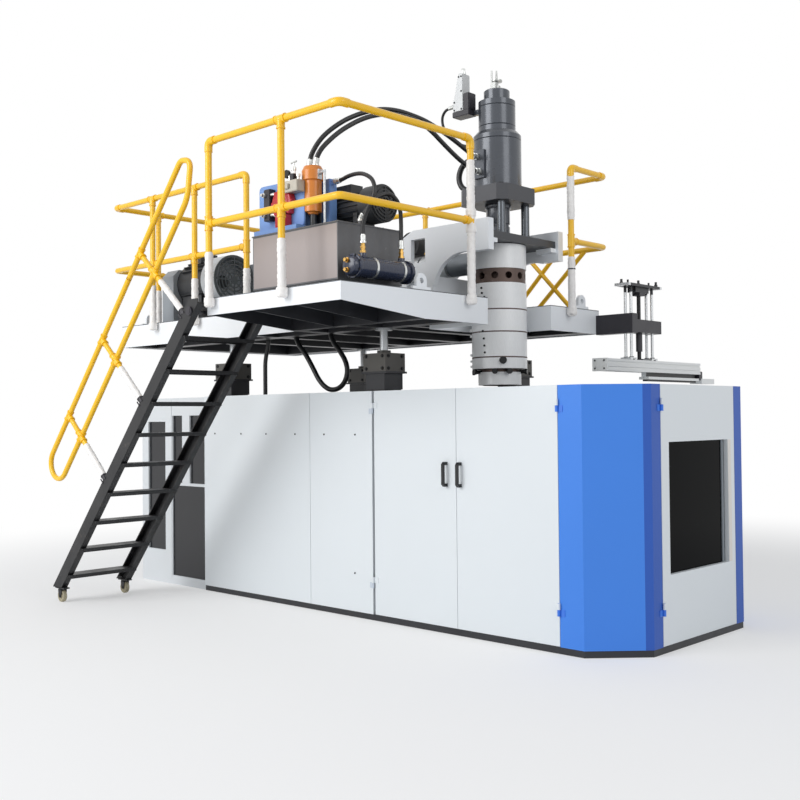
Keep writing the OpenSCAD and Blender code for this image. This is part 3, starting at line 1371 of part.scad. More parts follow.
module takeout_slide() {
    z1 = arm_z0 - 34 - 0.4;
    color("#9d9fa2") {
        difference() {
            block([arm_x0 + 18, 1150, z1 - 22], [arm_x0 + arm_w - 18, 2020, z1]);
            for (y = [1200 : 100 : 1900]) bar_z(arm_x0 + arm_w / 2, y, z1 - 30, 40, 9);
        }
        block([arm_x0 + 6, 2020, z1 - 44], [arm_x0 + arm_w - 6, 2250, z1]);
    }
    color("#1b1c1f") block([arm_x0 + 40, 1170, z1 - 36], [arm_x0 + arm_w - 40, 1980, z1 - 22]);
}

module hose_supply() { color("#151618") hose(supply_route, hose_d, [1, 0, 0]); }

module hose_return() { color("#151618") hose(return_route, hose_d, [1, 0, 0]); }

module cooler_hose_front() { color("#151618") hose(cooler_front_route, 34, [0, 1, 0]); }

module cooler_hose_rear() { color("#151618") hose(cooler_rear_route, 34, [0, 1, 0]); }

module lower_hose() { color("#151618") hose(lower_route, 36, [0, 1, 0]); }

module loop_hose() { color("#151618") hose(loop_route, 40, [0, 1, 0]); }

module cylinder_hose() { color("#151618") hose(cylinder_route, 46, [0, 1, 0]); }

module servo_hose() { color("#151618") hose(servo_route, 22, [0, 1, 0]); }

base_frame();
front_panels();
rear_panels();
corner_panels();
hinges();
tie_bars();
clamp_end_plates();
clamp_cylinder();
support_columns();
control_cabinet();
deck_frame();
deck_plate();
fascia();
jack_screws();
front_railing();
left_railing();
rear_railing();
stair_frame();
stair_handrail();
main_motor();
motor_cowl();
belt_guard();
gearbox();
barrel();
barrel_blowers();
head_support();
head_core();
heater_bands();
head_plates();
head_cylinder();
servo_valve();
oil_tank();
pump_motor();
pump_guard();
oil_filter();
oil_cooler();
takeout_beam();
door_left();
door_right();
window_door();
window_pane();
platen_left();
platen_right();
mould_half_left();
mould_half_right();
blow_pin();
extruder_screw();
stair_wheel_front();
stair_wheel_rear();
takeout_lift();
takeout_arm();
takeout_slide();
hose_supply();
hose_return();
cooler_hose_front();
cooler_hose_rear();
lower_hose();
loop_hose();
cylinder_hose();
servo_hose();
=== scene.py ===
# %% [markdown]
# # A blow moulding machine
# The machine has two storeys. Below, a panelled guard with doors and a window hides the mould
# clamp. Above it, a railed platform carries the extruder, the accumulator head and the hydraulics.
# The solid model gives every large form. This script gives it paint, metal, rubber and light, and
# adds the small pieces that a solid model leaves out.

import bpy
import bmesh
import math
import random
from mathutils import Matrix, Vector


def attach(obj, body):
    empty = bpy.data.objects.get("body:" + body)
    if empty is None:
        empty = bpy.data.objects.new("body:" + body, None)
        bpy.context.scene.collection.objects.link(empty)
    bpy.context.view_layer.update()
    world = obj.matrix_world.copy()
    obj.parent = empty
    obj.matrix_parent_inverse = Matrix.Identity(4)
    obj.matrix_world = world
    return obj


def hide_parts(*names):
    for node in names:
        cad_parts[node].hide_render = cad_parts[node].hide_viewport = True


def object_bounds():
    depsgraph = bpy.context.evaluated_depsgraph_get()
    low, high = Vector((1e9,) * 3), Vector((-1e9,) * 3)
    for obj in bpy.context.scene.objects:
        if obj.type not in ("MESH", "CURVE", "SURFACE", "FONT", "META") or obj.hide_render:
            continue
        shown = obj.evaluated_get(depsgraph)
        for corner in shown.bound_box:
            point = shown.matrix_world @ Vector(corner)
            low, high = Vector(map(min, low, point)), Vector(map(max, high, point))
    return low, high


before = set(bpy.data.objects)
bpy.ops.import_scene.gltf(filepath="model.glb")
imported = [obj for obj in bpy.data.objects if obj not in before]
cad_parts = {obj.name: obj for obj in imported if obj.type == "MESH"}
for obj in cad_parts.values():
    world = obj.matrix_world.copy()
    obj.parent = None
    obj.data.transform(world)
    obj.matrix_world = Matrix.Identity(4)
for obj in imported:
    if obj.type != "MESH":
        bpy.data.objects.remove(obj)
cad_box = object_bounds()
MM = 0.001

# %% [markdown]
# The camera stands to the right of the machine and looks at its front corner at chest height.
# The photo's vanishing lines give its place, its direction and its lens, so the camera is written
# as three plain vectors: where it stands, what it looks along, and a small roll.

# %% The camera
CAMERA_PLACE = Vector((5.0694, -6.4023, 1.5083))
CAMERA_YAW = math.radians(43.610)
CAMERA_PITCH = math.radians(1.2245)
CAMERA_ROLL = math.radians(0.5182)
PHOTO_WIDTH = 800
FOCAL_PIXELS = 1048.416
CENTRE_PIXEL = (403.890, 394.113)

look = Vector((
    -math.sin(CAMERA_YAW) * math.cos(CAMERA_PITCH),
    math.cos(CAMERA_YAW) * math.cos(CAMERA_PITCH),
    math.sin(CAMERA_PITCH),
))
camera_data = bpy.data.cameras.new("camera")
camera = bpy.data.objects.new("camera", camera_data)
bpy.context.scene.collection.objects.link(camera)
camera.rotation_mode = "QUATERNION"
camera.location = CAMERA_PLACE
camera.rotation_quaternion = (
    Matrix.Rotation(CAMERA_ROLL, 3, look) @ look.to_track_quat("-Z", "Y").to_matrix()
).to_quaternion()
camera_data.sensor_width = 36.0
camera_data.lens = 36.0 * FOCAL_PIXELS / PHOTO_WIDTH
camera_data.shift_x = (PHOTO_WIDTH / 2 - CENTRE_PIXEL[0]) / PHOTO_WIDTH
camera_data.shift_y = (CENTRE_PIXEL[1] - PHOTO_WIDTH / 2) / PHOTO_WIDTH
camera_data.clip_end = 200.0
bpy.context.scene.camera = camera
print(f"lens {camera_data.lens:.2f} mm, shift {camera_data.shift_x:.4f} {camera_data.shift_y:.4f}")

# %% [markdown]
# Colours are written as they look in the photo, in sRGB hex. Shaders work in linear light, so one
# function turns a hex value into linear numbers.

# %% Colours
def linear(hex_colour):
    """An sRGB hex colour as linear red, green, blue and alpha."""
    values = [int(hex_colour[i : i + 2], 16) / 255 for i in (1, 3, 5)]
    return tuple(v / 12.92 if v <= 0.04045 else ((v + 0.055) / 1.055) ** 2.4 for v in values) + (1.0,)


print("mid grey:", [round(v, 3) for v in linear("#808080")[:3]])

# %% [markdown]
# A material is a small tree of nodes. One helper adds a node, sets its properties and fills its
# inputs, so that a finish reads as a list of what it is made of.

# %% One helper for nodes
def add(tree, kind, inputs=(), **settings):
    """Adds a node. An input that is a socket is linked, and anything else is set as a value."""
    new = tree.nodes.new(kind)
    for name, value in settings.items():
        setattr(new, name, value)
    for key, value in dict(inputs).items():
        if isinstance(value, bpy.types.NodeSocket):
            tree.links.new(value, new.inputs[key])
        else:
            new.inputs[key].default_value = value
    return new


# %% [markdown]
# Many of the machine's parts carry two finishes on one solid: a black gasket round a white door, or
# a chrome rod in a dark plate. Where a finish changes is known in millimetres, so a mask is a box in
# the object's own coordinates: 1 inside and 0 outside.

# %% Masks in millimetres
def inside_box(tree, place, low, high):
    """1 inside the box between two corners in mm, 0 outside."""
    parts = add(tree, "ShaderNodeSeparateXYZ", {0: place})
    mask = None
    for axis in range(3):
        near = add(tree, "ShaderNodeMath", {
            0: parts.outputs[axis],
            1: (low[axis] + high[axis]) / 2 * MM,
            2: (high[axis] - low[axis]) / 2 * MM,
        }, operation="COMPARE").outputs[0]
        if mask is None:
            mask = near
        else:
            mask = add(tree, "ShaderNodeMath", {0: mask, 1: near}, operation="MULTIPLY").outputs[0]
    return mask


def any_of(tree, masks):
    """The union of several masks."""
    union = masks[0]
    for mask in masks[1:]:
        union = add(tree, "ShaderNodeMath", {0: union, 1: mask}, operation="MAXIMUM").outputs[0]
    return union


# %% [markdown]
# Every finish is one Principled shader. What differs is the base colour, how metallic and rough it
# is, how the colour mottles, and the fine relief: the orange peel of a powder coat, the grind marks
# of steel, or the dimples of a casting. Sizes are real ones in millimetres.

# %% One builder for all finishes
materials = {}


def new_finish(name):
    """A new material under its name: its node tree and its Principled shader."""
    material = bpy.data.materials.new(name)
    material.use_nodes = True
    materials[name] = material
    print("finish:", name)
    return material.node_tree, material.node_tree.nodes["Principled BSDF"]


def cover(tree, shader, tint, rough, height, height_mm):
    """Gives a shader its colour, its roughness and its relief."""
    bump = add(tree, "ShaderNodeBump", {"Height": height, "Strength": 1.0, "Distance": height_mm * MM})
    for socket, input_name in ((tint, "Base Color"), (rough, "Roughness"), (bump.outputs[0], "Normal")):
        tree.links.new(socket, shader.inputs[input_name])


def finish(
    name, colour, metallic=0.0, roughness=0.5, mottle=(0.06, 400), relief=(3, 0.05), rough_spread=0.05,
    streaks=None, coat=0.0, specular=0.5, dirt=None, patches=(),
):
    """A Principled finish. mottle is the share by which the colour varies and the size of a cloud in
    mm. relief is the size and the height of a grain in mm. streaks is the direction in which grind or
    brush marks run. dirt is (colour, size in mm, share), and patches are (boxes, colour, metallic,
    roughness) for masked areas."""
    tree, shader = new_finish(name)
    mottle_share, mottle_mm = mottle
    relief_mm, relief_height = relief
    place = add(tree, "ShaderNodeTexCoord").outputs["Object"]
    cloud = add(tree, "ShaderNodeTexNoise", {
        "Vector": place, "Scale": 1 / (mottle_mm * MM), "Detail": 4.0, "Roughness": 0.6,
    }).outputs["Fac"]
    base = linear(colour)
    light = tuple(min(1.0, c * (1 + mottle_share)) for c in base[:3]) + (1.0,)
    dark = tuple(c * (1 - mottle_share) for c in base[:3]) + (1.0,)
    tint = add(tree, "ShaderNodeMix", {0: cloud, 6: dark, 7: light}, data_type="RGBA").outputs[2]
    rough = add(tree, "ShaderNodeMapRange", {
        0: cloud, 1: 0.3, 2: 0.7,
        3: max(0.02, roughness - rough_spread), 4: min(1.0, roughness + rough_spread),
    }).outputs[0]
    metal = None
    if streaks:
        stretched = add(tree, "ShaderNodeMapping", {"Vector": place, "Scale": streaks}).outputs[0]
        marks = add(tree, "ShaderNodeTexNoise", {
            "Vector": stretched, "Scale": 1 / (relief_mm * MM), "Detail": 3.0, "Roughness": 0.65,
        }).outputs["Fac"]
        rough = add(tree, "ShaderNodeMath", {
            0: rough,
            1: add(tree, "ShaderNodeMapRange", {0: marks, 1: 0.3, 2: 0.7, 3: -0.06, 4: 0.08}).outputs[0],
        }, operation="ADD").outputs[0]
        tint = add(tree, "ShaderNodeMix", {
            0: add(tree, "ShaderNodeMapRange", {0: marks, 1: 0.35, 2: 0.7, 3: 0.0, 4: 0.35}).outputs[0],
            6: tint, 7: tuple(c * 0.72 for c in base[:3]) + (1.0,),
        }, data_type="RGBA").outputs[2]
    else:
        marks = add(tree, "ShaderNodeTexNoise", {
            "Vector": place, "Scale": 1 / (relief_mm * MM), "Detail": 2.0,
        }).outputs["Fac"]
    if dirt:
        dirt_colour, dirt_mm, dirt_share = dirt
        stain = add(tree, "ShaderNodeTexNoise", {
            "Vector": place, "Scale": 1 / (dirt_mm * MM), "Detail": 8.0, "Roughness": 0.72,
        }).outputs["Fac"]
        amount = add(tree, "ShaderNodeMapRange", {
            0: stain, 1: 0.72 - dirt_share * 0.3, 2: 0.86 - dirt_share * 0.3, 3: 0.0, 4: 0.8,
        }).outputs[0]
        tint = add(tree, "ShaderNodeMix", {
            0: amount, 6: tint, 7: linear(dirt_colour),
        }, data_type="RGBA").outputs[2]
        rough = add(tree, "ShaderNodeMath", {
            0: rough,
            1: add(tree, "ShaderNodeMath", {0: amount, 1: 0.15}, operation="MULTIPLY").outputs[0],
        }, operation="ADD", use_clamp=True).outputs[0]
    for boxes, patch_colour, patch_metallic, patch_roughness in patches:
        mask = any_of(tree, [inside_box(tree, place, low, high) for low, high in boxes])
        tint = add(tree, "ShaderNodeMix", {
            0: mask, 6: tint, 7: linear(patch_colour),
        }, data_type="RGBA").outputs[2]
        rough = add(tree, "ShaderNodeMix", {0: mask, 2: rough, 3: patch_roughness}).outputs[0]
        metal = add(tree, "ShaderNodeMix", {
            0: mask, 2: metallic if metal is None else metal, 3: patch_metallic,
        }).outputs[0]
    if metal is None:
        shader.inputs["Metallic"].default_value = metallic
    else:
        tree.links.new(metal, shader.inputs["Metallic"])
    shader.inputs["Coat Weight"].default_value = coat
    shader.inputs["Specular IOR Level"].default_value = specular
    cover(tree, shader, tint, rough, marks, relief_height)


# %% [markdown]
# The hoses come before all other pieces, because they are free to move and the frame checks them.
# Each is a spiral-wound hydraulic hose with a rubber cover: a tube swept along the route that the
# solid model uses, with its route rounded between the points. The tube carries its own UV map, with
# metres along the hose, so that the cloth-wrap mark of the rubber can follow it.

# %% Rounding a route and sweeping a tube
def rounded(points, steps=6):
    """Points in mm, joined by a smooth curve that passes through each, in metres."""
    pts = [Vector(p) * MM for p in points]
    ends = [pts[0] * 2 - pts[1]] + pts + [pts[-1] * 2 - pts[-2]]
    path = []
    for i in range(1, len(ends) - 2):
        a, b, c, d = ends[i - 1 : i + 3]
        for k in range(steps):
            t = k / steps
            path.append(0.5 * (
                2 * b + (c - a) * t + (2 * a - 5 * b + 4 * c - d) * t ** 2
                + (3 * b - a - 3 * c + d) * t ** 3
            ))
    return path + [pts[-1]]


def sweep(mesh, path, radius, sides=16):
    """Adds a closed tube along a path to a bmesh, with UVs: once round, and metres along."""
    layer = mesh.loops.layers.uv.verify()
    side = (path[1] - path[0]).orthogonal().normalized()
    rings, along, done = [], [], 0.0
    for i, point in enumerate(path):
        ahead = (path[min(i + 1, len(path) - 1)] - path[max(i - 1, 0)]).normalized()
        side = (side - ahead * side.dot(ahead)).normalized()
        up = ahead.cross(side)
        if i:
            done += (point - path[i - 1]).length
        along.append(done)
        rings.append([
            mesh.verts.new(point + radius * (
                side * math.cos(math.tau * k / sides) + up * math.sin(math.tau * k / sides)
            )) for k in range(sides)
        ])
    for i in range(len(rings) - 1):
        for k in range(sides):
            n = (k + 1) % sides
            face = mesh.faces.new((rings[i][k], rings[i][n], rings[i + 1][n], rings[i + 1][k]))
            for loop, uv in zip(face.loops, (
                (k, along[i]), (k + 1, along[i]), (k + 1, along[i + 1]), (k, along[i + 1])
            )):
                loop[layer].uv = (uv[0] / sides, uv[1])
    mesh.faces.new(rings[0][::-1])
    mesh.faces.new(rings[-1])
    return done


# %% [markdown]
# Every piece is made the same way at the end: the bmesh becomes an object at the origin with its
# material, its faces are smooth except at real edges, and it rides on the body that carries it.
# Most pieces ride on the platform.

# %% From mesh to piece
def placed(name, data, body, sharp_degrees):
    """Shades a mesh and makes it an object that rides on a body."""
    data.polygons.foreach_set("use_smooth", [True] * len(data.polygons))
    data.set_sharp_from_angle(angle=math.radians(sharp_degrees))
    item = bpy.data.objects.new(name, data)
    bpy.context.scene.collection.objects.link(item)
    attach(item, body)
    print(f"{name}: {len(data.polygons)} faces")
    return item


def piece(name, mesh, finish_name, body="platform", sharp_degrees=30):
    """A finished piece from a bmesh, with its faces turned outwards."""
    bmesh.ops.recalc_face_normals(mesh, faces=mesh.faces)
    data = bpy.data.meshes.new(name)
    mesh.to_mesh(data)
    mesh.free()
    data.materials.append(materials[finish_name])
    return placed(name, data, body, sharp_degrees)


# %% [markdown]
# Hydraulic hose is black synthetic rubber that was cured in a wet cloth wrap. It has a soft sheen
# and faint diagonal wrap lines about 30 mm apart, which the UV map carries round each bend.

# %% Hose rubber
WRAP_PITCH_MM = 30


def hose_rubber():
    """Black rubber with wrap lines along its own length."""
    tree, shader = new_finish("black hose rubber")
    uv = add(tree, "ShaderNodeTexCoord").outputs["UV"]
    slanted = add(tree, "ShaderNodeMapping", {"Vector": uv, "Scale": (0.03, 1.0, 1.0)}).outputs[0]
    parts = add(tree, "ShaderNodeSeparateXYZ", {0: slanted})
    across = add(tree, "ShaderNodeMath", {0: parts.outputs[0], 1: parts.outputs[1]}, operation="ADD")
    phase = add(tree, "ShaderNodeMath", {
        0: across.outputs[0], 1: math.tau / (WRAP_PITCH_MM * MM),
    }, operation="MULTIPLY")
    wrap = add(tree, "ShaderNodeMath", {0: phase.outputs[0]}, operation="SINE").outputs[0]
    scuff = add(tree, "ShaderNodeTexNoise", {"Vector": uv, "Scale": 40.0, "Detail": 5.0}).outputs["Fac"]
    tint = add(tree, "ShaderNodeMix", {
        0: scuff, 6: linear("#101113"), 7: linear("#1F2023"),
    }, data_type="RGBA").outputs[2]
    rough = add(tree, "ShaderNodeMapRange", {0: scuff, 1: 0.3, 2: 0.7, 3: 0.3, 4: 0.48}).outputs[0]
    height = add(tree, "ShaderNodeMath", {0: wrap, 1: scuff}, operation="ADD").outputs[0]
    cover(tree, shader, tint, rough, height, 0.15)


hose_rubber()

# %% [markdown]
# The routes are the solid model's own points, written out again. A smooth curve through a few chosen
# points bends as a stiff hose does, and it keeps each hose where its fittings hold it.

# %% The hoses
SUPPLY_ROUTE = [
    (-344, -1640, 3227), (-344, -1640, 3245), (-328, -1637, 3310), (-299, -1615, 3379), (-269, -1575, 3445),
    (-233, -1512, 3510), (-197, -1430, 3572), (-162, -1335, 3623), (-133, -1240, 3661), (-108, -1145, 3684),
    (-81, -1040, 3690), (-58, -930, 3680), (-34, -800, 3657), (-18, -660, 3616), (-12, -510, 3568),
    (-16, -370, 3522), (-28, -290, 3502), (-38, -236, 3498), (-38, -205, 3498),
]
RETURN_ROUTE = [
    (-281, -1640, 3227), (-281, -1640, 3245), (-264, -1637, 3295), (-242, -1618, 3345), (-218, -1575, 3400),
    (-189, -1515, 3461), (-161, -1445, 3516), (-127, -1360, 3570), (-102, -1275, 3608), (-72, -1180, 3634),
    (-42, -1075, 3644), (-14, -965, 3636), (8, -875, 3612), (20, -780, 3568), (26, -680, 3510),
    (24, -570, 3456), (14, -450, 3412), (2, -330, 3384), (-10, -270, 3378), (-14, -236, 3378),
    (-14, -205, 3378),
]
COOLER_FRONT_ROUTE = [
    (187, -1650, 2640), (187, -1650, 2700), (190, -1649, 2776), (222, -1642, 2856), (262, -1630, 2930),
    (268, -1620, 2996), (228, -1608, 3062), (140, -1590, 3110), (46, -1570, 3131), (-59, -1545, 3136),
    (-130, -1528, 3131), (-185, -1520, 3128), (-215, -1520, 3128),
]
COOLER_REAR_ROUTE = [
    (187, -1290, 2640), (187, -1290, 2720), (187, -1290, 2820), (188, -1298, 2900), (188, -1326, 2960),
    (186, -1376, 2994), (180, -1430, 2996), (158, -1488, 2966), (122, -1524, 2910), (80, -1538, 2866),
    (58, -1540, 2846), (52, -1540, 2832), (52, -1540, 2816),
]
LOWER_ROUTE = [
    (-1960, -700, 2357), (-1960, -700, 2260), (-1961, -700, 2170), (-1972, -700, 2105), (-1990, -700, 2050),
    (-2004, -700, 1980), (-2006, -700, 1900), (-2006, -700, 1810), (-2006, -700, 1720), (-2006, -700, 1600),
]
CYLINDER_ROUTE = [
    (-215, -20, 3540), (-240, -20, 3540), (-290, -22, 3530), (-340, -26, 3495), (-366, -28, 3440),
    (-366, -28, 3385), (-340, -26, 3335), (-290, -22, 3304), (-240, -20, 3296), (-215, -20, 3296),
]
SERVO_ROUTE = [
    (-343, -110, 3965), (-380, -110, 3965), (-436, -108, 3953), (-476, -100, 3914), (-484, -90, 3858),
    (-466, -78, 3800), (-430, -64, 3746), (-380, -50, 3702), (-322, -38, 3668), (-264, -30, 3651),
    (-236, -28, 3650), (-215, -28, 3650),
]
LOOP_ROUTE = [
    (-1610, -700, 2357), (-1610, -700, 2260), (-1598, -700, 2180), (-1560, -700, 2110), (-1500, -700, 2050),
    (-1440, -700, 1980), (-1380, -700, 1900), (-1320, -700, 1820), (-1250, -700, 1760), (-1170, -700, 1730),
    (-1080, -700, 1740), (-1010, -700, 1790), (-980, -700, 1870), (-1000, -700, 1950), (-1060, -700, 2030),
    (-1130, -700, 2100), (-1172, -700, 2180), (-1180, -700, 2260), (-1180, -700, 2357),
]
HOSES = {
    # node: (route, outer diameter in mm)
    "hose_supply": (SUPPLY_ROUTE, 34), "hose_return": (RETURN_ROUTE, 34),
    "cooler_hose_front": (COOLER_FRONT_ROUTE, 28), "cooler_hose_rear": (COOLER_REAR_ROUTE, 28),
    "lower_hose": (LOWER_ROUTE, 36), "loop_hose": (LOOP_ROUTE, 40),
    "cylinder_hose": (CYLINDER_ROUTE, 46), "servo_hose": (SERVO_ROUTE, 22),
}
for node_name, (route, width) in HOSES.items():
    path = rounded(route)
    tube = bmesh.new()
    length = sweep(tube, path, width / 2 * MM)
    hose = piece(node_name + "_rubber", tube, "black hose rubber", "platform", 60)
    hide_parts(node_name)
    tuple(path[0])
    print(f"{node_name}: {length:.3f} m of {width} mm hose")

# %% [markdown]
# The guard's panels are folded sheet steel with a light grey powder coat. A powder coat melts and
# levels in an oven, which leaves a faint orange peel 2 to 4 mm across and an even satin gloss. The
# peel is drawn at 5 mm here, because 3 mm is finer than a pixel.

# %% Powder coats
POWDER = {"mottle": (0.015, 900), "relief": (5, 0.04)}
PULL_HANDLES = ((225, -990, 1000), (400, -918.6, 1215))
# Painted shade: the box holds the window side of the blue corner panels, which gets a darker blue for the
# faces turned away from the light.
SHADED_WINDOW_SIDE = ((1640, -1000, 0), (1700, 1000, 1800))
LEFT_HINGES = ((-600, -1000, 0), (0, 1000, 1800))
finish("light grey powder coat", "#E4E9EC", roughness=0.42, **POWDER)
finish("door powder coat", "#E4E9EC", roughness=0.42, **POWDER,
       patches=[([PULL_HANDLES], "#101114", 0.0, 0.35)])
# The darker blue patch on the window side is painted shade, not a second paint.
finish("blue powder coat", "#4587E6", roughness=0.38, mottle=(0.03, 700), relief=(5, 0.04), specular=0.35,
       patches=[([SHADED_WINDOW_SIDE], "#2F5CB6", 0.0, 0.4)])
finish("hinge paint", "#3F7CE2", roughness=0.4, mottle=(0.04, 60), relief=(4, 0.05),
       patches=[([LEFT_HINGES], "#C9D2DC", 0.0, 0.4)])

# %% [markdown]
# The structure is welded steel with sprayed black enamel. Enamel over mill scale is uneven in gloss,
# and the stair's channels are scuffed and dusty where feet and hands pass.

# %% Black enamels
COLUMNS = [(x, y) for x in (-476, -2330) for y in (-794, 794)]
NUT_BLOCKS = [((x - 120, y - 107, 1843), (x + 120, y + 107, 2008)) for x, y in COLUMNS]
finish("black structural enamel", "#26272B", roughness=0.42, mottle=(0.18, 250), relief=(9, 0.12),
       rough_spread=0.1, patches=[(NUT_BLOCKS, "#55534F", 0.2, 0.4)])
finish("black stair enamel", "#1B1B1D", roughness=0.5, mottle=(0.15, 180), relief=(8, 0.12),
       rough_spread=0.12, dirt=("#5C534E", 160, 0.35))
finish("black bracket enamel", "#2B2930", roughness=0.38, mottle=(0.1, 150), relief=(6, 0.08),
       rough_spread=0.08)

# %% [markdown]
# Railings are safety yellow gloss enamel, brushed or sprayed on tube and on the malleable iron
# fittings. Gloss enamel has a clear top layer, so it takes a light coat. The platform's edge and the
# head's support are white gloss, with a little dirt from handling.

# %% Railing yellow and platform white
finish("safety yellow enamel", "#FFC414", roughness=0.34, mottle=(0.05, 120), relief=(12, 0.1), coat=0.25)
finish("white gloss enamel", "#F3F6F9", roughness=0.35, mottle=(0.03, 500), relief=(10, 0.08),
       dirt=("#A9A49E", 300, 0.12))

# %% [markdown]
# The deck is chequer plate: rolled steel with raised lugs that alternate in direction, painted dark
# grey. The lugs stand 1.5 mm proud on a 30 mm pitch, which two crossed waves give as relief.

# %% Chequer plate
LUG_PITCH_MM, LUG_HEIGHT_MM = 30, 1.5


def chequer_plate():
    """Dark grey paint on rolled chequer plate."""
    tree, shader = new_finish("painted chequer plate")
    place = add(tree, "ShaderNodeTexCoord").outputs["Object"]
    slanted = add(tree, "ShaderNodeMapping", {
        "Vector": place, "Rotation": (0, 0, math.radians(45)),
    }).outputs[0]
    parts = add(tree, "ShaderNodeSeparateXYZ", {0: slanted})
    waves = []
    for axis in (0, 1):
        phase = add(tree, "ShaderNodeMath", {
            0: parts.outputs[axis], 1: math.pi / (LUG_PITCH_MM * MM),
        }, operation="MULTIPLY").outputs[0]
        waves.append(add(tree, "ShaderNodeMath", {0: phase}, operation="SINE").outputs[0])
    product = add(tree, "ShaderNodeMath", {0: waves[0], 1: waves[1]}, operation="MULTIPLY").outputs[0]
    lug = add(tree, "ShaderNodeMapRange", {0: product, 1: 0.25, 2: 0.75, 3: 0.0, 4: 1.0}).outputs[0]
    wear = add(tree, "ShaderNodeTexNoise", {
        "Vector": place, "Scale": 3.0, "Detail": 8.0, "Roughness": 0.7,
    }).outputs["Fac"]
    worn = add(tree, "ShaderNodeMath", {0: lug, 1: wear}, operation="MULTIPLY").outputs[0]
    tint = add(tree, "ShaderNodeMix", {
        0: worn, 6: linear("#5A5D61"), 7: linear("#A4A7AA"),
    }, data_type="RGBA").outputs[2]
    rough = add(tree, "ShaderNodeMapRange", {0: wear, 1: 0.3, 2: 0.7, 3: 0.4, 4: 0.6}).outputs[0]
    cover(tree, shader, tint, rough, lug, LUG_HEIGHT_MM)


chequer_plate()

# %% [markdown]
# Bare metals come next. A metal has no paint, so its colour is its own reflection, and its look
# comes from how it was worked: chrome is ground and bright, a turned cylinder has rings round it,
# and rolled stainless sheet has a grain along the roll.

# %% Bare metals
TAKEOUT_TOP_PLATE = ((300, 860, 2490), (700, 1310, 2600))
PROFILE_SLOTS = [((544, 1150, 1800), (624, 1985, 1849.6)), ((544, 1160, 1770), (624, 1985, 1794))]
finish("hard chrome on ground bar", "#D3D6D9", metallic=1.0, roughness=0.14, mottle=(0.02, 400),
       relief=(2, 0.01), streaks=(0.02, 1, 1))
finish("ground vertical rod", "#D9DBDD", metallic=0.85, roughness=0.24, mottle=(0.04, 400), relief=(2, 0.01),
       streaks=(1, 1, 0.02), patches=[([TAKEOUT_TOP_PLATE], "#2A2B2F", 0.0, 0.4)])
finish("turned screw steel", "#B4B7BA", metallic=1.0, roughness=0.3, mottle=(0.05, 400), relief=(3, 0.03),
       streaks=(1, 1, 12))
finish("brushed stainless band", "#F5F6F6", metallic=0.1, roughness=0.38, mottle=(0.05, 120),
       relief=(2, 0.03), streaks=(1, 1, 0.05), dirt=("#8F8A82", 90, 0.12))
finish("heat-tinted steel", "#5F504A", metallic=0.55, roughness=0.48, mottle=(0.22, 60), relief=(3, 0.06),
       dirt=("#3A2A28", 50, 0.45))
finish("milled mould aluminium", "#BCBFC2", metallic=1.0, roughness=0.3, mottle=(0.03, 400), relief=(4, 0.03),
       streaks=(1, 1, 0.03))
finish("anodised aluminium profile", "#F2F3F1", roughness=0.42, mottle=(0.03, 400), relief=(2, 0.02),
       streaks=(1, 0.02, 1), patches=[(PROFILE_SLOTS, "#1A1B1E", 0.0, 0.4)])
finish("zinc-plated steel", "#D6D8D6", metallic=0.9, roughness=0.3, mottle=(0.08, 20), relief=(2, 0.03))
finish("yellow brass", "#C9A15C", metallic=1.0, roughness=0.28, mottle=(0.08, 15), relief=(2, 0.02))

# %% [markdown]
# Machine enamels are thicker than a powder coat. They hide the casting or plate below, but the sand
# grain of a casting still shows as a soft pebble.

# %% Machine enamels
HEAD_TIE_RODS = ((-200, -200, 2878), (200, 200, 3139))
YOKE_PLATE = ((-260, -410, 2815), (260, 410, 2878))
CYLINDER_TOP = ((-60, -60, 4041), (60, 60, 4210))
COWL_GRILLE = ((-2369, -1000, 2400), (-2350, -500, 3000))
BARREL_ZONES = [
    ((low_x, -114, 2600), (high_x, 114, 2840))
    for low_x, high_x in ((-2001, -1699), (-1641, -1339), (-1051, -769), (-751, -469))
]
finish("grey machine enamel", "#7F868C", roughness=0.4, mottle=(0.08, 200), relief=(10, 0.15))
finish("dark grey cylinder enamel", "#4C5157", roughness=0.38, mottle=(0.08, 200), relief=(10, 0.1))
finish("blackened steel plate", "#4B4C50", metallic=0.3, roughness=0.42, mottle=(0.12, 120), relief=(5, 0.08),
       patches=[([HEAD_TIE_RODS], "#5B5F64", 0.85, 0.22), ([YOKE_PLATE], "#3C3E42", 0.1, 0.4)])
finish("accumulator cylinder enamel", "#4C5057", metallic=0.35, roughness=0.27, mottle=(0.06, 150),
       relief=(6, 0.03), coat=0.3, patches=[([CYLINDER_TOP], "#A9ABA9", 0.9, 0.35)])
finish("servo valve aluminium", "#B9BBBC", metallic=0.6, roughness=0.38, mottle=(0.1, 30), relief=(3, 0.05))
finish("cast motor enamel", "#2B2D30", roughness=0.48, mottle=(0.12, 60), relief=(6, 0.2))
finish("pressed cowl enamel", "#B4B8BC", roughness=0.36, mottle=(0.04, 400), relief=(6, 0.06),
       patches=[([COWL_GRILLE], "#3F4548", 0.0, 0.5)])
finish("belt guard enamel", "#8F959B", roughness=0.42, mottle=(0.05, 400), relief=(6, 0.06))
finish("gearbox hammer enamel", "#5A6067", roughness=0.38, mottle=(0.1, 25), relief=(9, 0.3))
finish("barrel steel and band heaters", "#7D8287", metallic=0.8, roughness=0.42, mottle=(0.1, 80),
       relief=(4, 0.05), patches=[(BARREL_ZONES, "#C4C6C7", 0.7, 0.34)])
finish("moulded blower black", "#1A1B1E", roughness=0.5, mottle=(0.1, 40), relief=(3, 0.08))

# %% [markdown]
# The tank's front is a sheet with a fine vertical grain and a warm grey lacquer. Its frame and its
# side are a darker, speckled paint. Which face is which is a matter of millimetres, so the front
# panel is one thin mask over the dark paint.

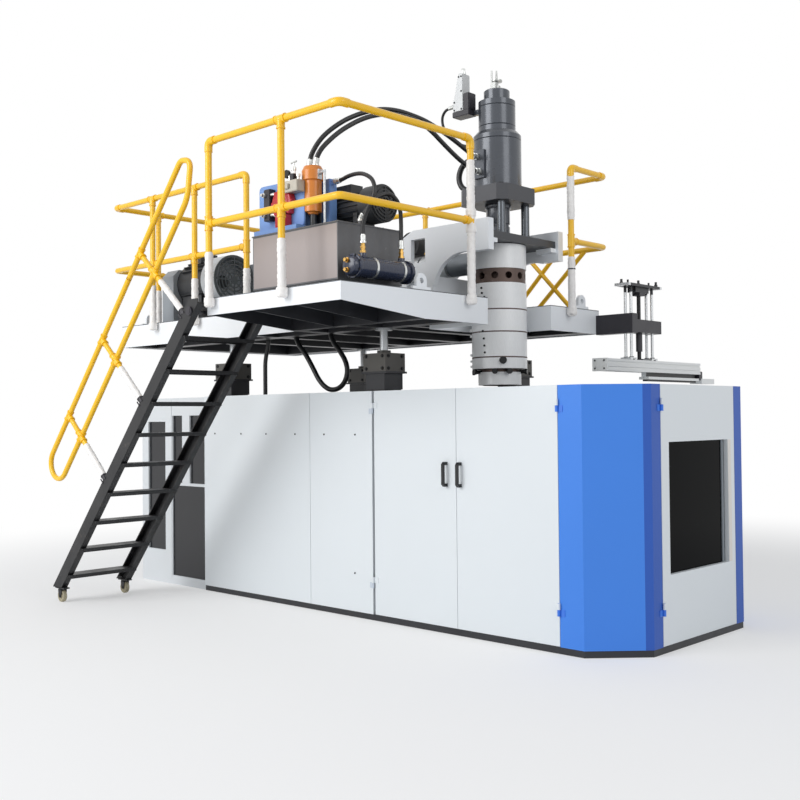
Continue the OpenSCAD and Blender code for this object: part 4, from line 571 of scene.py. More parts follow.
# %% Hydraulic finishes
TANK_FRONT = ((-787, -1785, 2416), (77, -1779, 2772))
FILTER_BRACKETS = [((-425, -1591, 2780), (-290, -1575, 3200)), ((-336, -1664, 2780), (-288, -1616, 2897))]
FILTER_FITTINGS = [((-240, -1660, 2780), (-170, -1620, 3200))]
finish("tank paint", "#67686B", metallic=0.1, roughness=0.4, mottle=(0.14, 80), relief=(7, 0.1),
       dirt=("#8B8B8D", 30, 0.4), patches=[([TANK_FRONT], "#A59C9A", 0.35, 0.34)])
finish("blue pump enamel", "#7AA0DC", roughness=0.34, mottle=(0.06, 400), relief=(6, 0.08), coat=0.15)
finish("red pump enamel", "#B8222C", roughness=0.32, mottle=(0.08, 60), relief=(7, 0.15), coat=0.2)
finish("bead-blasted valve block", "#B4AFA4", metallic=0.5, roughness=0.42, mottle=(0.08, 40),
       relief=(2, 0.03))
finish("orange filter enamel", "#DB8430", roughness=0.33, mottle=(0.07, 60), relief=(6, 0.08), coat=0.2,
       patches=[(FILTER_BRACKETS, "#3D4044", 0.3, 0.4), (FILTER_FITTINGS, "#B9BDC0", 0.8, 0.3)])
finish("oil cooler enamel", "#242C42", roughness=0.27, mottle=(0.08, 80), relief=(5, 0.05), coat=0.3)

# %% [markdown]
# The last finishes are the plastics: the smoked polycarbonate window, cast nylon wheels, the film on
# the railings, a white silicone sleeve and a black tie. With them come the cabinet, whose dark panes
# are masks in its powder coat, and the black oxide of the screws.

# %% Plastics, the cabinet and the screws
CABINET_PANES = [
    ((-3498, -888, 300), (-3217, -870, 1480)), ((-3103, -888, 925), (-2950, -870, 1535)),
    ((-2835, -888, 925), (-2603, -870, 1535)), ((-3103, -894, 80), (-2603, -870, 900)),
]
finish("smoked polycarbonate", "#050607", roughness=0.06, mottle=(0.0, 400), rough_spread=0.01,
       relief=(200, 0.02), specular=0.03)
finish("grey cast nylon", "#A69E84", mottle=(0.1, 20), relief=(2, 0.05))
finish("cabinet powder coat", "#DADEE1", roughness=0.4, mottle=(0.02, 800), relief=(5, 0.04),
       patches=[(CABINET_PANES, "#15161B", 0.0, 0.22)])
finish("protective polyethylene film", "#F6F3F0", roughness=0.3, mottle=(0.06, 30), relief=(18, 1.2),
       dirt=("#B8ADA6", 40, 0.2))
finish("white silicone sleeve", "#E6E2DC", mottle=(0.05, 400), relief=(2, 0.02))
finish("black pvc", "#151517", roughness=0.45, mottle=(0.1, 400), relief=(2, 0.02))
finish("black socket screw", "#1C1D1F", metallic=0.4, roughness=0.42, mottle=(0.1, 400), relief=(1, 0.02))
print(len(materials), "finishes")

# %% [markdown]
# Each solid of the CAD model keeps its shape and gets its finish here.

# %% Paint the solids
PAINT = {
    "light grey powder coat": ["front_panels", "rear_panels", "window_door"],
    "door powder coat": ["door_left", "door_right"],
    "blue powder coat": ["corner_panels"],
    "hinge paint": ["hinges"],
    "black structural enamel": ["base_frame", "deck_frame", "support_columns"],
    "black bracket enamel": ["takeout_beam"],
    "black stair enamel": ["stair_frame"],
    "safety yellow enamel": ["front_railing", "left_railing", "rear_railing", "stair_handrail"],
    "white gloss enamel": ["fascia", "head_support"],
    "painted chequer plate": ["deck_plate"],
    "hard chrome on ground bar": ["tie_bars"],
    "turned screw steel": ["jack_screws", "blow_pin", "extruder_screw"],
    "grey machine enamel": ["clamp_end_plates", "platen_left", "platen_right"],
    "dark grey cylinder enamel": ["clamp_cylinder"],
    "cabinet powder coat": ["control_cabinet"],
    "cast motor enamel": ["main_motor", "pump_motor"],
    "pressed cowl enamel": ["motor_cowl"],
    "belt guard enamel": ["belt_guard"],
    "gearbox hammer enamel": ["gearbox"],
    "barrel steel and band heaters": ["barrel"],
    "moulded blower black": ["barrel_blowers"],
    "heat-tinted steel": ["head_core"],
    "brushed stainless band": ["heater_bands"],
    "blackened steel plate": ["head_plates"],
    "accumulator cylinder enamel": ["head_cylinder"],
    "servo valve aluminium": ["servo_valve"],
    "tank paint": ["oil_tank"],
    "blue pump enamel": ["pump_guard"],
    "orange filter enamel": ["oil_filter"],
    "oil cooler enamel": ["oil_cooler"],
    "smoked polycarbonate": ["window_pane"],
    "milled mould aluminium": ["mould_half_left", "mould_half_right"],
    "anodised aluminium profile": ["takeout_arm", "takeout_slide"],
    "ground vertical rod": ["takeout_lift"],
    "grey cast nylon": ["stair_wheel_front", "stair_wheel_rear"],
}
for coat_name, node_names in PAINT.items():
    for node_name in node_names:
        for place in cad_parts[node_name].material_slots:
            place.material = materials[coat_name]
print("painted", sum(len(names) for names in PAINT.values()), "solids")

# %% [markdown]
# The railings are steel tube joined by malleable fittings: short sleeves with a collar at each
# mouth. A tube, a sleeve and a collar are all one thing, a round section that follows a line and
# changes its radius, so one Geometry Nodes tree makes them all. It takes a mesh of edges that
# carries a radius at each point, turns every chain of edges into a curve and sweeps a circle along.

# %% The tube works
def new_tree(name, inputs, output):
    """A Geometry Nodes tree: itself, and what its named inputs give."""
    tree = bpy.data.node_groups.new(name, "GeometryNodeTree")
    for socket_name, kind in inputs.items():
        tree.interface.new_socket(name=socket_name, in_out="INPUT", socket_type="NodeSocket" + kind)
    tree.interface.new_socket(name=output, in_out="OUTPUT", socket_type="NodeSocketGeometry")
    return tree, add(tree, "NodeGroupInput").outputs


def end_tree(tree, geometry, finish_socket):
    """The end of a tree: instances become real faces and take their finish."""
    real = add(tree, "GeometryNodeRealizeInstances", {"Geometry": geometry})
    painted = add(tree, "GeometryNodeSetMaterial", {"Geometry": real.outputs[0], "Material": finish_socket})
    add(tree, "NodeGroupOutput", {0: painted.outputs[0]})


def grown(name, tree, source, settings, body, sharp_degrees):
    """Runs a tree on a source mesh, and returns the plain mesh it makes as a piece on a body."""
    holder = bpy.data.objects.new(name + "_source", source)
    bpy.context.scene.collection.objects.link(holder)
    modifier = holder.modifiers.new("tree", "NODES")
    modifier.node_group = tree
    for item in tree.interface.items_tree:
        if item.in_out == "INPUT" and item.name in settings:
            modifier[item.identifier] = settings[item.name]
    bpy.context.view_layer.update()
    ready = holder.evaluated_get(bpy.context.evaluated_depsgraph_get())
    data = bpy.data.meshes.new_from_object(ready)
    data.name = name
    holder.modifiers.clear()
    bpy.data.objects.remove(holder)
    return placed(name, data, body, sharp_degrees)


tube_tree, given = new_tree("tube works", {
    "Lines": "Geometry", "Sides": "Int", "Finish": "Material",
}, "Tubes")
curves = add(tube_tree, "GeometryNodeMeshToCurve", {"Mesh": given["Lines"]})
circle = add(tube_tree, "GeometryNodeCurvePrimitiveCircle", {"Resolution": given["Sides"], "Radius": 1.0})
thickness = add(tube_tree, "GeometryNodeInputNamedAttribute", {"Name": "tube_radius"}, data_type="FLOAT")
swept = add(tube_tree, "GeometryNodeCurveToMesh", {
    "Curve": curves.outputs[0], "Profile Curve": circle.outputs[0],
    "Scale": thickness.outputs[0], "Fill Caps": True,
})
end_tree(tube_tree, swept.outputs[0], given["Finish"])


def tubes(name, chains, finish_name, body="platform", sides=18):
    """Tubes along chains of (x, y, z, radius) in mm."""
    points, edges = [], []
    for chain in chains:
        start = len(points)
        points += chain
        edges += [(i, i + 1) for i in range(start, len(points) - 1)]
    source = bpy.data.meshes.new(name + "_lines")
    source.from_pydata([Vector(point[:3]) * MM for point in points], edges, [])
    radii = source.attributes.new("tube_radius", "FLOAT", "POINT")
    radii.data.foreach_set("value", [point[3] * MM for point in points])
    return grown(name, tube_tree, source, {"Sides": sides, "Finish": materials[finish_name]}, body, 35)


# %% [markdown]
# A fitting grips the tube with set screws, so its sleeve is a few millimetres wider than the tube,
# with a thicker rim at each mouth. An elbow is the same sleeve led round a bend.

# %% Sleeves, branches and bends
RAIL_TUBE = 24


def sleeve(start, end, tube=RAIL_TUBE):
    """A sleeve with a collar at each mouth, between two points in mm."""
    a, b = Vector(start), Vector(end)
    way = (b - a).normalized()
    mouth = [(0, tube + 3), (0.5, tube + 7), (9, tube + 7), (9.5, tube + 4)]
    return [(*(a + way * d), r) for d, r in mouth] + [(*(b - way * d), r) for d, r in reversed(mouth)]


def tee(at, through, branch, tube=RAIL_TUBE, reach=52):
    """A sleeve that runs through a point, and one that leaves it sideways."""
    at, through, branch = Vector(at), Vector(through).normalized(), Vector(branch).normalized()
    run = sleeve(at - through * reach, at + through * reach, tube)
    return [run, sleeve(at, at + branch * (reach + 14), tube)]


def bend(before, corner, after, radius, tube, steps=8):
    """Points round a corner, from one straight to the next, in mm."""
    corner = Vector(corner)
    in_way = (Vector(before) - corner).normalized()
    out_way = (Vector(after) - corner).normalized()
    reach = radius / math.tan(in_way.angle(out_way) / 2)
    start, end = corner + in_way * reach, corner + out_way * reach
    points = []
    for i in range(steps + 1):
        t = i / steps
        near = start.lerp(corner, t).lerp(corner.lerp(end, t), t)
        points.append((*near, tube))
    return points


def straight(start, end, tube=RAIL_TUBE):
    """A plain length of tube."""
    return [(*start, tube), (*end, tube)]


# %% [markdown]
# Platform railings: the posts stand outside the deck's edge and pass down its white fascia, where
# two clamps hold each. An elbow fitting leads the rail round each corner, and each top rail turns
# down into its two end posts. The posts between them meet both rails in tees.

# %% Platform railings
TOP, MID, FOOT = 3466, 2883, 2296
FRONT, RIGHT, REAR, LEFT, BACK = -2001, 344, 970, -3560, -1205
CLAMP_HEIGHTS, CLAMP_TUBE = (2311, 2345), 33
ELBOW_TURN, ELBOW_REACH, ELBOW_TUBE = 44, 76, 29
BRACE_FOOT, BRACE_TUBE = 2385, 19
UP, DOWN = (0, 0, 1), (0, 0, -1)


def elbowed(points):
    """One tube through points in mm, with a bend at each corner."""
    run = [(*points[0], RAIL_TUBE)]
    for before, corner, after in zip(points, points[1:], points[2:]):
        run += bend(before, corner, after, ELBOW_TURN, RAIL_TUBE)
    return run + [(*points[-1], RAIL_TUBE)]


def railing(name, corners, middle_posts, braces=()):
    """A railing through corners (x, y), which stands on its two end posts and those between."""
    ends = (corners[0], corners[-1])
    top_run = [(*ends[0], FOOT), *((x, y, TOP) for x, y in corners), (*ends[1], FOOT)]
    chains = [elbowed(top_run), elbowed([(x, y, MID) for x, y in corners])]
    for before, corner, after in zip(top_run, top_run[1:], top_run[2:]):
        start, end = [
            Vector(corner) + (Vector(point) - Vector(corner)).normalized() * ELBOW_REACH
            for point in (before, after)
        ]
        turn = bend(before, corner, after, ELBOW_TURN, ELBOW_TUBE)
        chains.append([(*start, ELBOW_TUBE), *turn, (*end, ELBOW_TUBE)])
    for end, inner in zip(ends, (corners[1], corners[-2])):
        chains += tee((*end, MID), UP, (inner[0] - end[0], inner[1] - end[1], 0))
    for x, y in middle_posts:
        along = (1, 0, 0) if y in (FRONT, BACK, REAR) else (0, 1, 0)
        chains.append(straight((x, y, FOOT), (x, y, TOP)))
        chains += tee((x, y, TOP), along, DOWN) + tee((x, y, MID), along, DOWN)
    for x, y in (*ends, *middle_posts):
        chains += [[(x, y, z - 9, CLAMP_TUBE), (x, y, z + 9, CLAMP_TUBE)] for z in CLAMP_HEIGHTS]
    return tubes(name, [*chains, *braces], "safety yellow enamel")


front_tubes = railing(
    "front_railing_tubes", [(-1012, FRONT), (RIGHT, FRONT), (RIGHT, -741)], [(-216, FRONT)])
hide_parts("front_railing")
left_tubes = railing(
    "left_railing_tubes", [(-1606, BACK), (LEFT, BACK), (LEFT, 670)],
    [(-2315, BACK), (-2950, BACK), (LEFT, -745)])
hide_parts("left_railing")
rear_tubes = railing(
    "rear_railing_tubes", [(RIGHT, 489), (RIGHT, REAR), (LEFT, REAR)],
    [(-700, REAR), (-1650, REAR), (-2600, REAR)],
    [[(foot_x, REAR, BRACE_FOOT, BRACE_TUBE), (head_x, REAR, MID, BRACE_TUBE)]
     for foot_x, head_x in ((-641, -138), (26, -443), (-388, 158))])
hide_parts("rear_railing")

# %% [markdown]
# The handrail runs beside the stair in one plane. Its two tubes lie square to three struts and join
# in a round end at the bottom. Past a knee in the inner tube they meet again at the top, in a crown
# with two corners.

# %% The stair's own directions
STAIR_SLOPE = math.radians(48.75)
COS, SIN = math.cos(STAIR_SLOPE), math.sin(STAIR_SLOPE)
PIVOT = (-1140, 2270)
HAND, HAND_TUBE = -2050, 21
INNER, OUTER = 572, 832
STRUTS = (-1700, -905, -78)
STRUT_FOOT = 78
LOOP_START, LOOP_TURN, LOOP_STEPS = -2112, (OUTER - INNER) / 2, 16
LOWER_END, UPPER_END = -300, -320
KNEE_TURN, CROWN_TURN = 260, 66


def on_stair(along, out, y=HAND):
    """A point in mm from its distance up the stair's line and its distance above that line."""
    return (PIVOT[0] + along * COS - out * SIN, y, PIVOT[1] + along * SIN + out * COS)


print("foot of the stair's line:", [round(c) for c in on_stair(-3000, 0)])

# %% [markdown]
# Struts, tubes and tees are the same round sections as on the platform's railings. Only the round end
# is new: half a circle in the stair's own plane, taken at equal angles.

# %% The handrail
rail_chains = []
for along in STRUTS:
    rail_chains.append(straight(on_stair(along, STRUT_FOOT), on_stair(along, OUTER), HAND_TUBE - 1))
    for out in (OUTER, INNER):
        rail_chains += tee(on_stair(along, out), (COS, 0, SIN), (SIN, 0, -COS), HAND_TUBE, 42)
    rail_chains.append(sleeve(on_stair(along, INNER + 8), on_stair(along, INNER + 60), HAND_TUBE))
loop = []
for i in range(LOOP_STEPS + 1):
    angle = math.pi * i / LOOP_STEPS
    along, out = LOOP_START - LOOP_TURN * math.sin(angle), INNER + LOOP_TURN * (1 + math.cos(angle))
    loop.append(on_stair(along, out))
loop = [on_stair(LOWER_END, OUTER), *loop, on_stair(LOWER_END, INNER)]
rail_chains.append([(*point, HAND_TUBE) for point in loop])
knee, crown_inner, crown_outer = on_stair(575, INNER + 10), (-1158, HAND, 3352), on_stair(735, OUTER)
inner_end, outer_end = on_stair(UPPER_END, INNER), on_stair(UPPER_END, OUTER)
rail_chains.append([
    (*inner_end, HAND_TUBE),
    *bend(inner_end, knee, crown_inner, KNEE_TURN, HAND_TUBE, 10),
    *bend(knee, crown_inner, crown_outer, CROWN_TURN, HAND_TUBE, 10),
    *bend(crown_inner, crown_outer, outer_end, CROWN_TURN, HAND_TUBE, 10),
    (*outer_end, HAND_TUBE),
])
handrail = tubes("stair_handrail_tubes", rail_chains, "safety yellow enamel", "stair")
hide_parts("stair_handrail")

# %% [markdown]
# Small parts sit on the solid model's surfaces. Where one shows in the photo, the camera's own ray
# through that spot finds the surface. Elsewhere a start point and a direction find it. Either way
# the part lands on what carries it, so it looks right from every side.

# %% Landing on a surface
def landing(node_name, start, direction):
    """Where a ray from start, in mm, meets a node: the point in mm and the surface's normal."""
    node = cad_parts[node_name]
    hit, point, normal, _ = node.ray_cast(Vector(start) * MM, Vector(direction).normalized())
    if not hit:
        raise ValueError(f"nothing of {node_name} lies that way from {tuple(start)}")
    return point / MM, normal


def seen_at(node_name, u, v):
    """Where the camera sees a node through a spot of the frame."""
    side = (u - CENTRE_PIXEL[0]) / FOCAL_PIXELS
    up = (CENTRE_PIXEL[1] - v) / FOCAL_PIXELS
    return landing(node_name, CAMERA_PLACE / MM, camera.rotation_quaternion @ Vector((side, up, -1.0)))


print("top plate's corner:", [round(c) for c in seen_at("head_plates", 505, 190)[0]])

# %% [markdown]
# The stair is two rolled channels with folded treads between them, on two swivel casters. Its near
# channel stands well clear of the deck's edge, and its web is a hand's width deep. Flat plates are
# prisms between two values of y, and round parts are turned from a profile. One helper makes each.

# %% Prisms and turned parts
def skin(mesh, rings):
    """Closes a row of rings of vertices into a shell with two flat ends."""
    for a, b in zip(rings, rings[1:]):
        for k in range(len(a)):
            n = (k + 1) % len(a)
            mesh.faces.new((a[k], a[n], b[n], b[k]))
    mesh.faces.new(rings[0][::-1])
    mesh.faces.new(rings[-1])


def prism(mesh, outline, y0, y1):
    """A closed prism from (x, z) points in mm, between two values of y."""
    skin(mesh, [[mesh.verts.new((x * MM, y * MM, z * MM)) for x, z in outline] for y in (y0, y1)])


def slab(mesh, low, high):
    """A closed box between two corners in mm."""
    (x0, y0, z0), (x1, y1, z1) = low, high
    prism(mesh, [(x0, z0), (x1, z0), (x1, z1), (x0, z1)], y0, y1)


def turned(mesh, profile, centre, axis, sides=32):
    """A closed turned part from (radius, height) points in mm, on an axis through centre."""
    axis = Vector(axis).normalized()
    side = axis.orthogonal().normalized()
    up = axis.cross(side)
    rings = []
    for radius, height in profile:
        rings.append([
            mesh.verts.new((Vector(centre) + axis * height + radius * (
                side * math.cos(math.tau * k / sides) + up * math.sin(math.tau * k / sides))) * MM)
            for k in range(sides)
        ])
    skin(mesh, rings)


def softened(mesh, edges, millimetres):
    """Rounds the given edges of a mesh."""
    bmesh.ops.bevel(mesh, geom=edges, offset=millimetres * MM, segments=2, affect="EDGES")
    return mesh


def bevelled(mesh, millimetres):
    """Rounds the sharp edges of a mesh of flat plates."""
    bmesh.ops.recalc_face_normals(mesh, faces=mesh.faces)
    sharp = [edge for edge in mesh.edges if edge.calc_face_angle(0) > math.radians(40)]
    return softened(mesh, sharp, millimetres)


# %% The stair
NEAR_WEB, FAR_WEB = -2075, -1435
WEB_THICKNESS, FLANGE_THICKNESS, FLANGE_WIDTH = 8, 9, 54
FOOT_Z, STAIR_TOP_Z = 118, 2354
TREADS, TOP_TREAD_Z, TREAD_RISE = 9, 2087, 233.5
WHEEL_X, WHEEL_Z, NEAR_WHEEL, FAR_WHEEL = -3007.254, 50, -2048, -1462


def channel_side(low_out, high_out, top_x):
    """The outline of a channel's web or flange between two distances from the stair's line."""
    foot = [on_stair((FOOT_Z - PIVOT[1] - out * COS) / SIN, out) for out in (low_out, high_out)]
    head = []
    for out in (high_out, low_out):
        along = min((top_x - PIVOT[0] + out * SIN) / COS, (STAIR_TOP_Z - PIVOT[1] - out * COS) / SIN)
        head.append(on_stair(along, out))
    cut_corner = head[0][2] > STAIR_TOP_Z - 1 and head[1][0] > top_x - 1
    corner = [(top_x, 0, STAIR_TOP_Z)] if cut_corner else []
    return [(x, z) for x, _, z in (*foot, head[0], *corner, head[1])]


def channel(mesh, web, inward, low_out, high_out, top_x):
    """One side channel: its web, and a flange along each edge that points inward."""
    prism(mesh, channel_side(low_out, high_out, top_x), web, web + inward * WEB_THICKNESS)
    for a, b in ((low_out, low_out + FLANGE_THICKNESS), (high_out - FLANGE_THICKNESS, high_out)):
        prism(mesh, channel_side(a, b, top_x), web + inward * 7, web + inward * FLANGE_WIDTH)


def caster_bracket(mesh, web, inward, wheel_y):
    """A channel's foot plate, and under it a swivel bearing, a fork with two cheeks and an axle."""
    low_y, high_y = sorted((web, web + inward * FLANGE_WIDTH))
    slab(mesh, (WHEEL_X - 70, low_y, 111), (WHEEL_X + 70, high_y, 121))
    bearing = [(20, 103), (30, 103), (33, 106), (33, 110), (30, 112), (18, 112)]
    turned(mesh, bearing, (WHEEL_X, wheel_y, 0), UP, 24)
    slab(mesh, (WHEEL_X - 26, wheel_y - 25, 99), (WHEEL_X + 26, wheel_y + 25, 104))
    cheek = [(-26, 104), (-26, 84), (-14, 42), (-6, 36), (6, 36), (14, 42), (26, 84), (26, 104)]
    for edge in (-25, 21):
        prism(mesh, [(WHEEL_X + dx, z) for dx, z in cheek], wheel_y + edge, wheel_y + edge + 4)
    turned(mesh, [(8, -28), (8, 28)], (WHEEL_X, wheel_y, WHEEL_Z), (0, 1, 0), 12)


def tread(mesh, z):
    """A folded tread at a height, with its two edges turned down."""
    x = PIVOT[0] - (PIVOT[1] - z) / math.tan(STAIR_SLOPE)
    fold = [(-85, -16), (-81, -16), (-81, 9), (81, 9), (81, -16), (85, -16), (85, 14), (-85, 14)]
    prism(mesh, [(x + dx, z + dz) for dx, dz in fold], NEAR_WEB + WEB_THICKNESS, FAR_WEB - WEB_THICKNESS)


stair_mesh = bmesh.new()
channel(stair_mesh, NEAR_WEB, 1, -36, 68, -1052)
channel(stair_mesh, FAR_WEB, -1, -58, 58, -1102)
caster_bracket(stair_mesh, NEAR_WEB, 1, NEAR_WHEEL)
caster_bracket(stair_mesh, FAR_WEB, -1, FAR_WHEEL)
for step in range(TREADS):
    tread(stair_mesh, TOP_TREAD_Z - step * TREAD_RISE)
stair_piece = piece("stair_channels", stair_mesh, "black stair enamel", "stair")
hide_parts("stair_frame")

# %% [markdown]
# A caster's wheel is cast nylon, with a hub, a thin web and a tread whose edges are rounded. It is the
# same on both sides, so one half of its profile is written, mirrored and turned round the axle.

# %% Casters
half_wheel = [(9, 18), (20, 18), (22, 14), (36, 13), (38, 17), (46, 17), (49, 14), (50, 8)]
wheel_profile = [(r, -h) for r, h in half_wheel] + half_wheel[::-1]
for node_name, wheel_y, body in (
    ("stair_wheel_front", NEAR_WHEEL, "front_wheel"), ("stair_wheel_rear", FAR_WHEEL, "rear_wheel"),
):
    wheel_mesh = bmesh.new()
    turned(wheel_mesh, wheel_profile, (WHEEL_X, wheel_y, WHEEL_Z), (0, 1, 0), 40)
    wheel = piece(node_name + "_nylon", wheel_mesh, "grey cast nylon", body)
    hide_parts(node_name)

# %% [markdown]
# Each strut of the handrail sits in a clamp with its bolts. The stair hangs on two pivots, which are
# fixed to the platform, so they ride on the platform and stay still when the stair tilts.

# %% Clamps and pivots of the stair
clamp_chains = []
for along in STRUTS:
    clamp_chains.append(sleeve(on_stair(along, 62), on_stair(along, 112), HAND_TUBE))
    for shift in (-24, 24):
        x, y, z = on_stair(along + shift, 60)
        clamp_chains.append([(x, y - 30, z, 7), (x, y + 30, z, 7)])
        clamp_chains.append([(*on_stair(along + shift, out, HAND - 26), 5) for out in (50, 96)])
tubes("stair_clamps", clamp_chains, "black bracket enamel", "stair", 12)
pivot_chains = [
    [(PIVOT[0], y0, PIVOT[1], r), (PIVOT[0], y1, PIVOT[1], r)]
    for y0, y1, r in ((-2092, -1990, 20), (-2090, -2077, 32), (-1432, -1420, 32), (-1450, -1425, 20))
]
tubes("stair_pivots", pivot_chains, "black bracket enamel", sides=24)

# %% [markdown]
# The posts came from the paint shop in a white polyethylene film that nobody took off. Film that is
# wound round a tube lies in short creases, so each wrap is a tube whose rings vary a little in
# radius and in lean. The random numbers have one fixed seed.

# %% Protective film
creases = random.Random(41)


def wrap(mesh, start, end, radius, sides=20, crease_mm=13):
    """A creased sleeve of film between two points in mm."""
    a, b = Vector(start), Vector(end)
    way = (b - a).normalized()
    side = way.orthogonal().normalized()
    up = way.cross(side)
    count = max(6, int((b - a).length / crease_mm))
    waves = [(creases.randint(2, 5), creases.uniform(0, math.tau)) for _ in range(count + 1)]
    rings = []
    for i in range(count + 1):
        lobes, turn = waves[i]
        middle = a + way * ((b - a).length * i / count)
        puff = creases.uniform(-0.6, 2.2) if 0 < i < count else -1.5
        ring = []
        for k in range(sides):
            angle = math.tau * k / sides
            reach = radius + puff + 1.5 * math.sin(lobes * angle + turn) + creases.uniform(-0.5, 0.5)
            ring.append(mesh.verts.new((middle + way * creases.uniform(-2, 2) + reach * (
                side * math.cos(angle) + up * math.sin(angle))) * MM))
        rings.append(ring)
    skin(mesh, rings)


POST_WRAP, CLAMP_WRAP, TEE_WRAP, STRUT_WRAP = 28.5, 37, 35, 22.5
POST_FILM = [
    # x, y, foot, head
    (-1012, FRONT, 2292, 2679), (-216, FRONT, 2292, 2679), (RIGHT, -741, 2292, 3310),
    (RIGHT, 489, 3050, 3405), (RIGHT, 489, 2288, 2755), (-1606, BACK, 2294, 2703),
    (-2315, BACK, 2294, 2692), (-2950, BACK, 2294, 2690), (LEFT, -745, 2294, 2735),
    (LEFT, 670, 2294, 2700), (-2600, REAR, 2294, 2695), (-1650, REAR, 2294, 2710), (-700, REAR, 2294, 2688),
]
film_mesh = bmesh.new()
for x, y, foot, head in POST_FILM:
    wrap(film_mesh, (x, y, foot), (x, y, head), POST_WRAP)
    if foot < FOOT + 4:
        wrap(film_mesh, (x, y, 2298), (x, y, 2358), CLAMP_WRAP)
for low, high in ((MID + 30, MID + 84), (MID - 84, MID - 30)):
    wrap(film_mesh, (RIGHT, -741, low), (RIGHT, -741, high), TEE_WRAP)
piece("post_film", film_mesh, "protective polyethylene film", sharp_degrees=60)
film_mesh = bmesh.new()
for along, top in zip(reversed(STRUTS), (470, 475, 471)):
    wrap(film_mesh, on_stair(along, 108), on_stair(along, top), STRUT_WRAP)
piece("strut_film", film_mesh, "protective polyethylene film", "stair", 60)
tubes("film_ties", [[(RIGHT, 489, z, 31.5) for z in (2655, 2664)]], "black pvc")

# %% [markdown]
# Each hose ends in a crimped ferrule and a nut of zinc-plated steel. They follow the first few
# centimetres of the hose, so their stations are measured along its own path.

# %% Hose ends
def along_path(path, distance):
    """The point at a distance in metres along a path."""
    for a, b in zip(path, path[1:]):
        step = (b - a).length
        if distance <= step:
            return a + (b - a) * (distance / step)
        distance -= step
    return path[-1]


FERRULE = [(0, 8), (14, 8), (14.5, 2), (20, 2), (20.5, 4.5), (52, 4.5), (53, 1), (58, 0.6)]
end_chains = []
for route, width in HOSES.values():
    path = rounded(route)
    for way in (path, path[::-1]):
        end_chains.append([(*(along_path(way, d * MM) / MM), width / 2 + wider) for d, wider in FERRULE])
tubes("hose_ends", end_chains, "zinc-plated steel", sides=16)

# %% [markdown]
# Screws repeat everywhere, so a second tree sets one head on each of many points. Every point says
# which way its screw looks out and how large it is. A hexagon head has a washer under it, and a
# socket head is a plain cylinder.

# %% The screw tree
screw_tree, given = new_tree("screw heads", {
    "Places": "Geometry", "Sides": "Int", "Height": "Float", "Washer": "Float", "Finish": "Material",
}, "Screws")
head = add(screw_tree, "GeometryNodeMeshCylinder", {
    "Vertices": given["Sides"], "Radius": 1.0, "Depth": given["Height"],
})
half_height = add(screw_tree, "ShaderNodeMath", {0: given["Height"], 1: 0.5}, operation="MULTIPLY")
lift = add(screw_tree, "ShaderNodeCombineXYZ", {"Z": half_height.outputs[0]})
head_up = add(screw_tree, "GeometryNodeTransform", {
    "Geometry": head.outputs["Mesh"], "Translation": lift.outputs[0],
})
washer = add(screw_tree, "GeometryNodeMeshCylinder", {
    "Vertices": 20, "Radius": given["Washer"], "Depth": 0.24,
})
together = add(screw_tree, "GeometryNodeJoinGeometry")
for part in (head_up, washer):
    screw_tree.links.new(part.outputs[0], together.inputs[0])
aim = add(screw_tree, "GeometryNodeInputNamedAttribute", {"Name": "aim"}, data_type="FLOAT_VECTOR")
turn = add(screw_tree, "FunctionNodeAlignRotationToVector", {"Vector": aim.outputs[0]}, axis="Z")
size = add(screw_tree, "GeometryNodeInputNamedAttribute", {"Name": "size"}, data_type="FLOAT")
spread = add(screw_tree, "GeometryNodeInstanceOnPoints", {
    "Points": given["Places"], "Instance": together.outputs[0],
    "Rotation": turn.outputs[0], "Scale": size.outputs[0],
})
end_tree(screw_tree, spread.outputs[0], given["Finish"])


def screws(name, places, body="platform", sides=6, height=0.72, washer=1.28):
    """One mesh of black screws at (point in mm, direction, radius in mm)."""
    source = bpy.data.meshes.new(name + "_places")
    source.from_pydata([Vector(point) * MM for point, _, _ in places], [], [])
    source.attributes.new("aim", "FLOAT_VECTOR", "POINT").data.foreach_set(
        "vector", [c for _, direction, _ in places for c in direction])
    source.attributes.new("size", "FLOAT", "POINT").data.foreach_set("value", [r * MM for _, _, r in places])
    settings = {"Sides": sides, "Height": height, "Washer": washer, "Finish": materials["black socket screw"]}
    return grown(name, screw_tree, source, settings, body, 30)


def on_circle(count, radius):
    """Points evenly round a circle in mm, the first half a step on."""
    angles = [math.tau * (k + 0.5) / count for k in range(count)]
    return [(radius * math.cos(angle), radius * math.sin(angle)) for angle in angles]


# %% [markdown]
# Small screws hold the guard's panels, and larger ones the nut blocks on the columns. Each stands on
# its own side of the part, so the direction is worked out together with the place.

# %% Screws of the guard and the columns
PANEL_Y = -917.5
panel_spots = [(x, 1375) for x in (-2434, -2066, -1731, -1364, -1018, -669)] + [(-681, 331)]
screws("panel_screws", [((x, PANEL_Y, z), (0, -1, 0), 7) for x, z in panel_spots], "frame", 16, 0.5, 1.02)
column_places = []
for column_x, column_y in COLUMNS:
    for side in (-1, 1):
        for shift in (-1, 1):
            for z in (1868, 1960):
                column_places += [
                    ((column_x + 85 * shift, column_y + 105 * side, z), (0, side, 0), 11),
                    ((column_x + 117 * side, column_y + 72 * shift, z), (side, 0, 0), 11),
                ]
screws("column_screws", column_places, "frame")

# %% [markdown]
# Screws run round the tank's lid, four large nuts close the rods on the top plate, and a ring of
# screws holds the cylinder's flange. A row is a range with its pitch, and a ring is a circle.

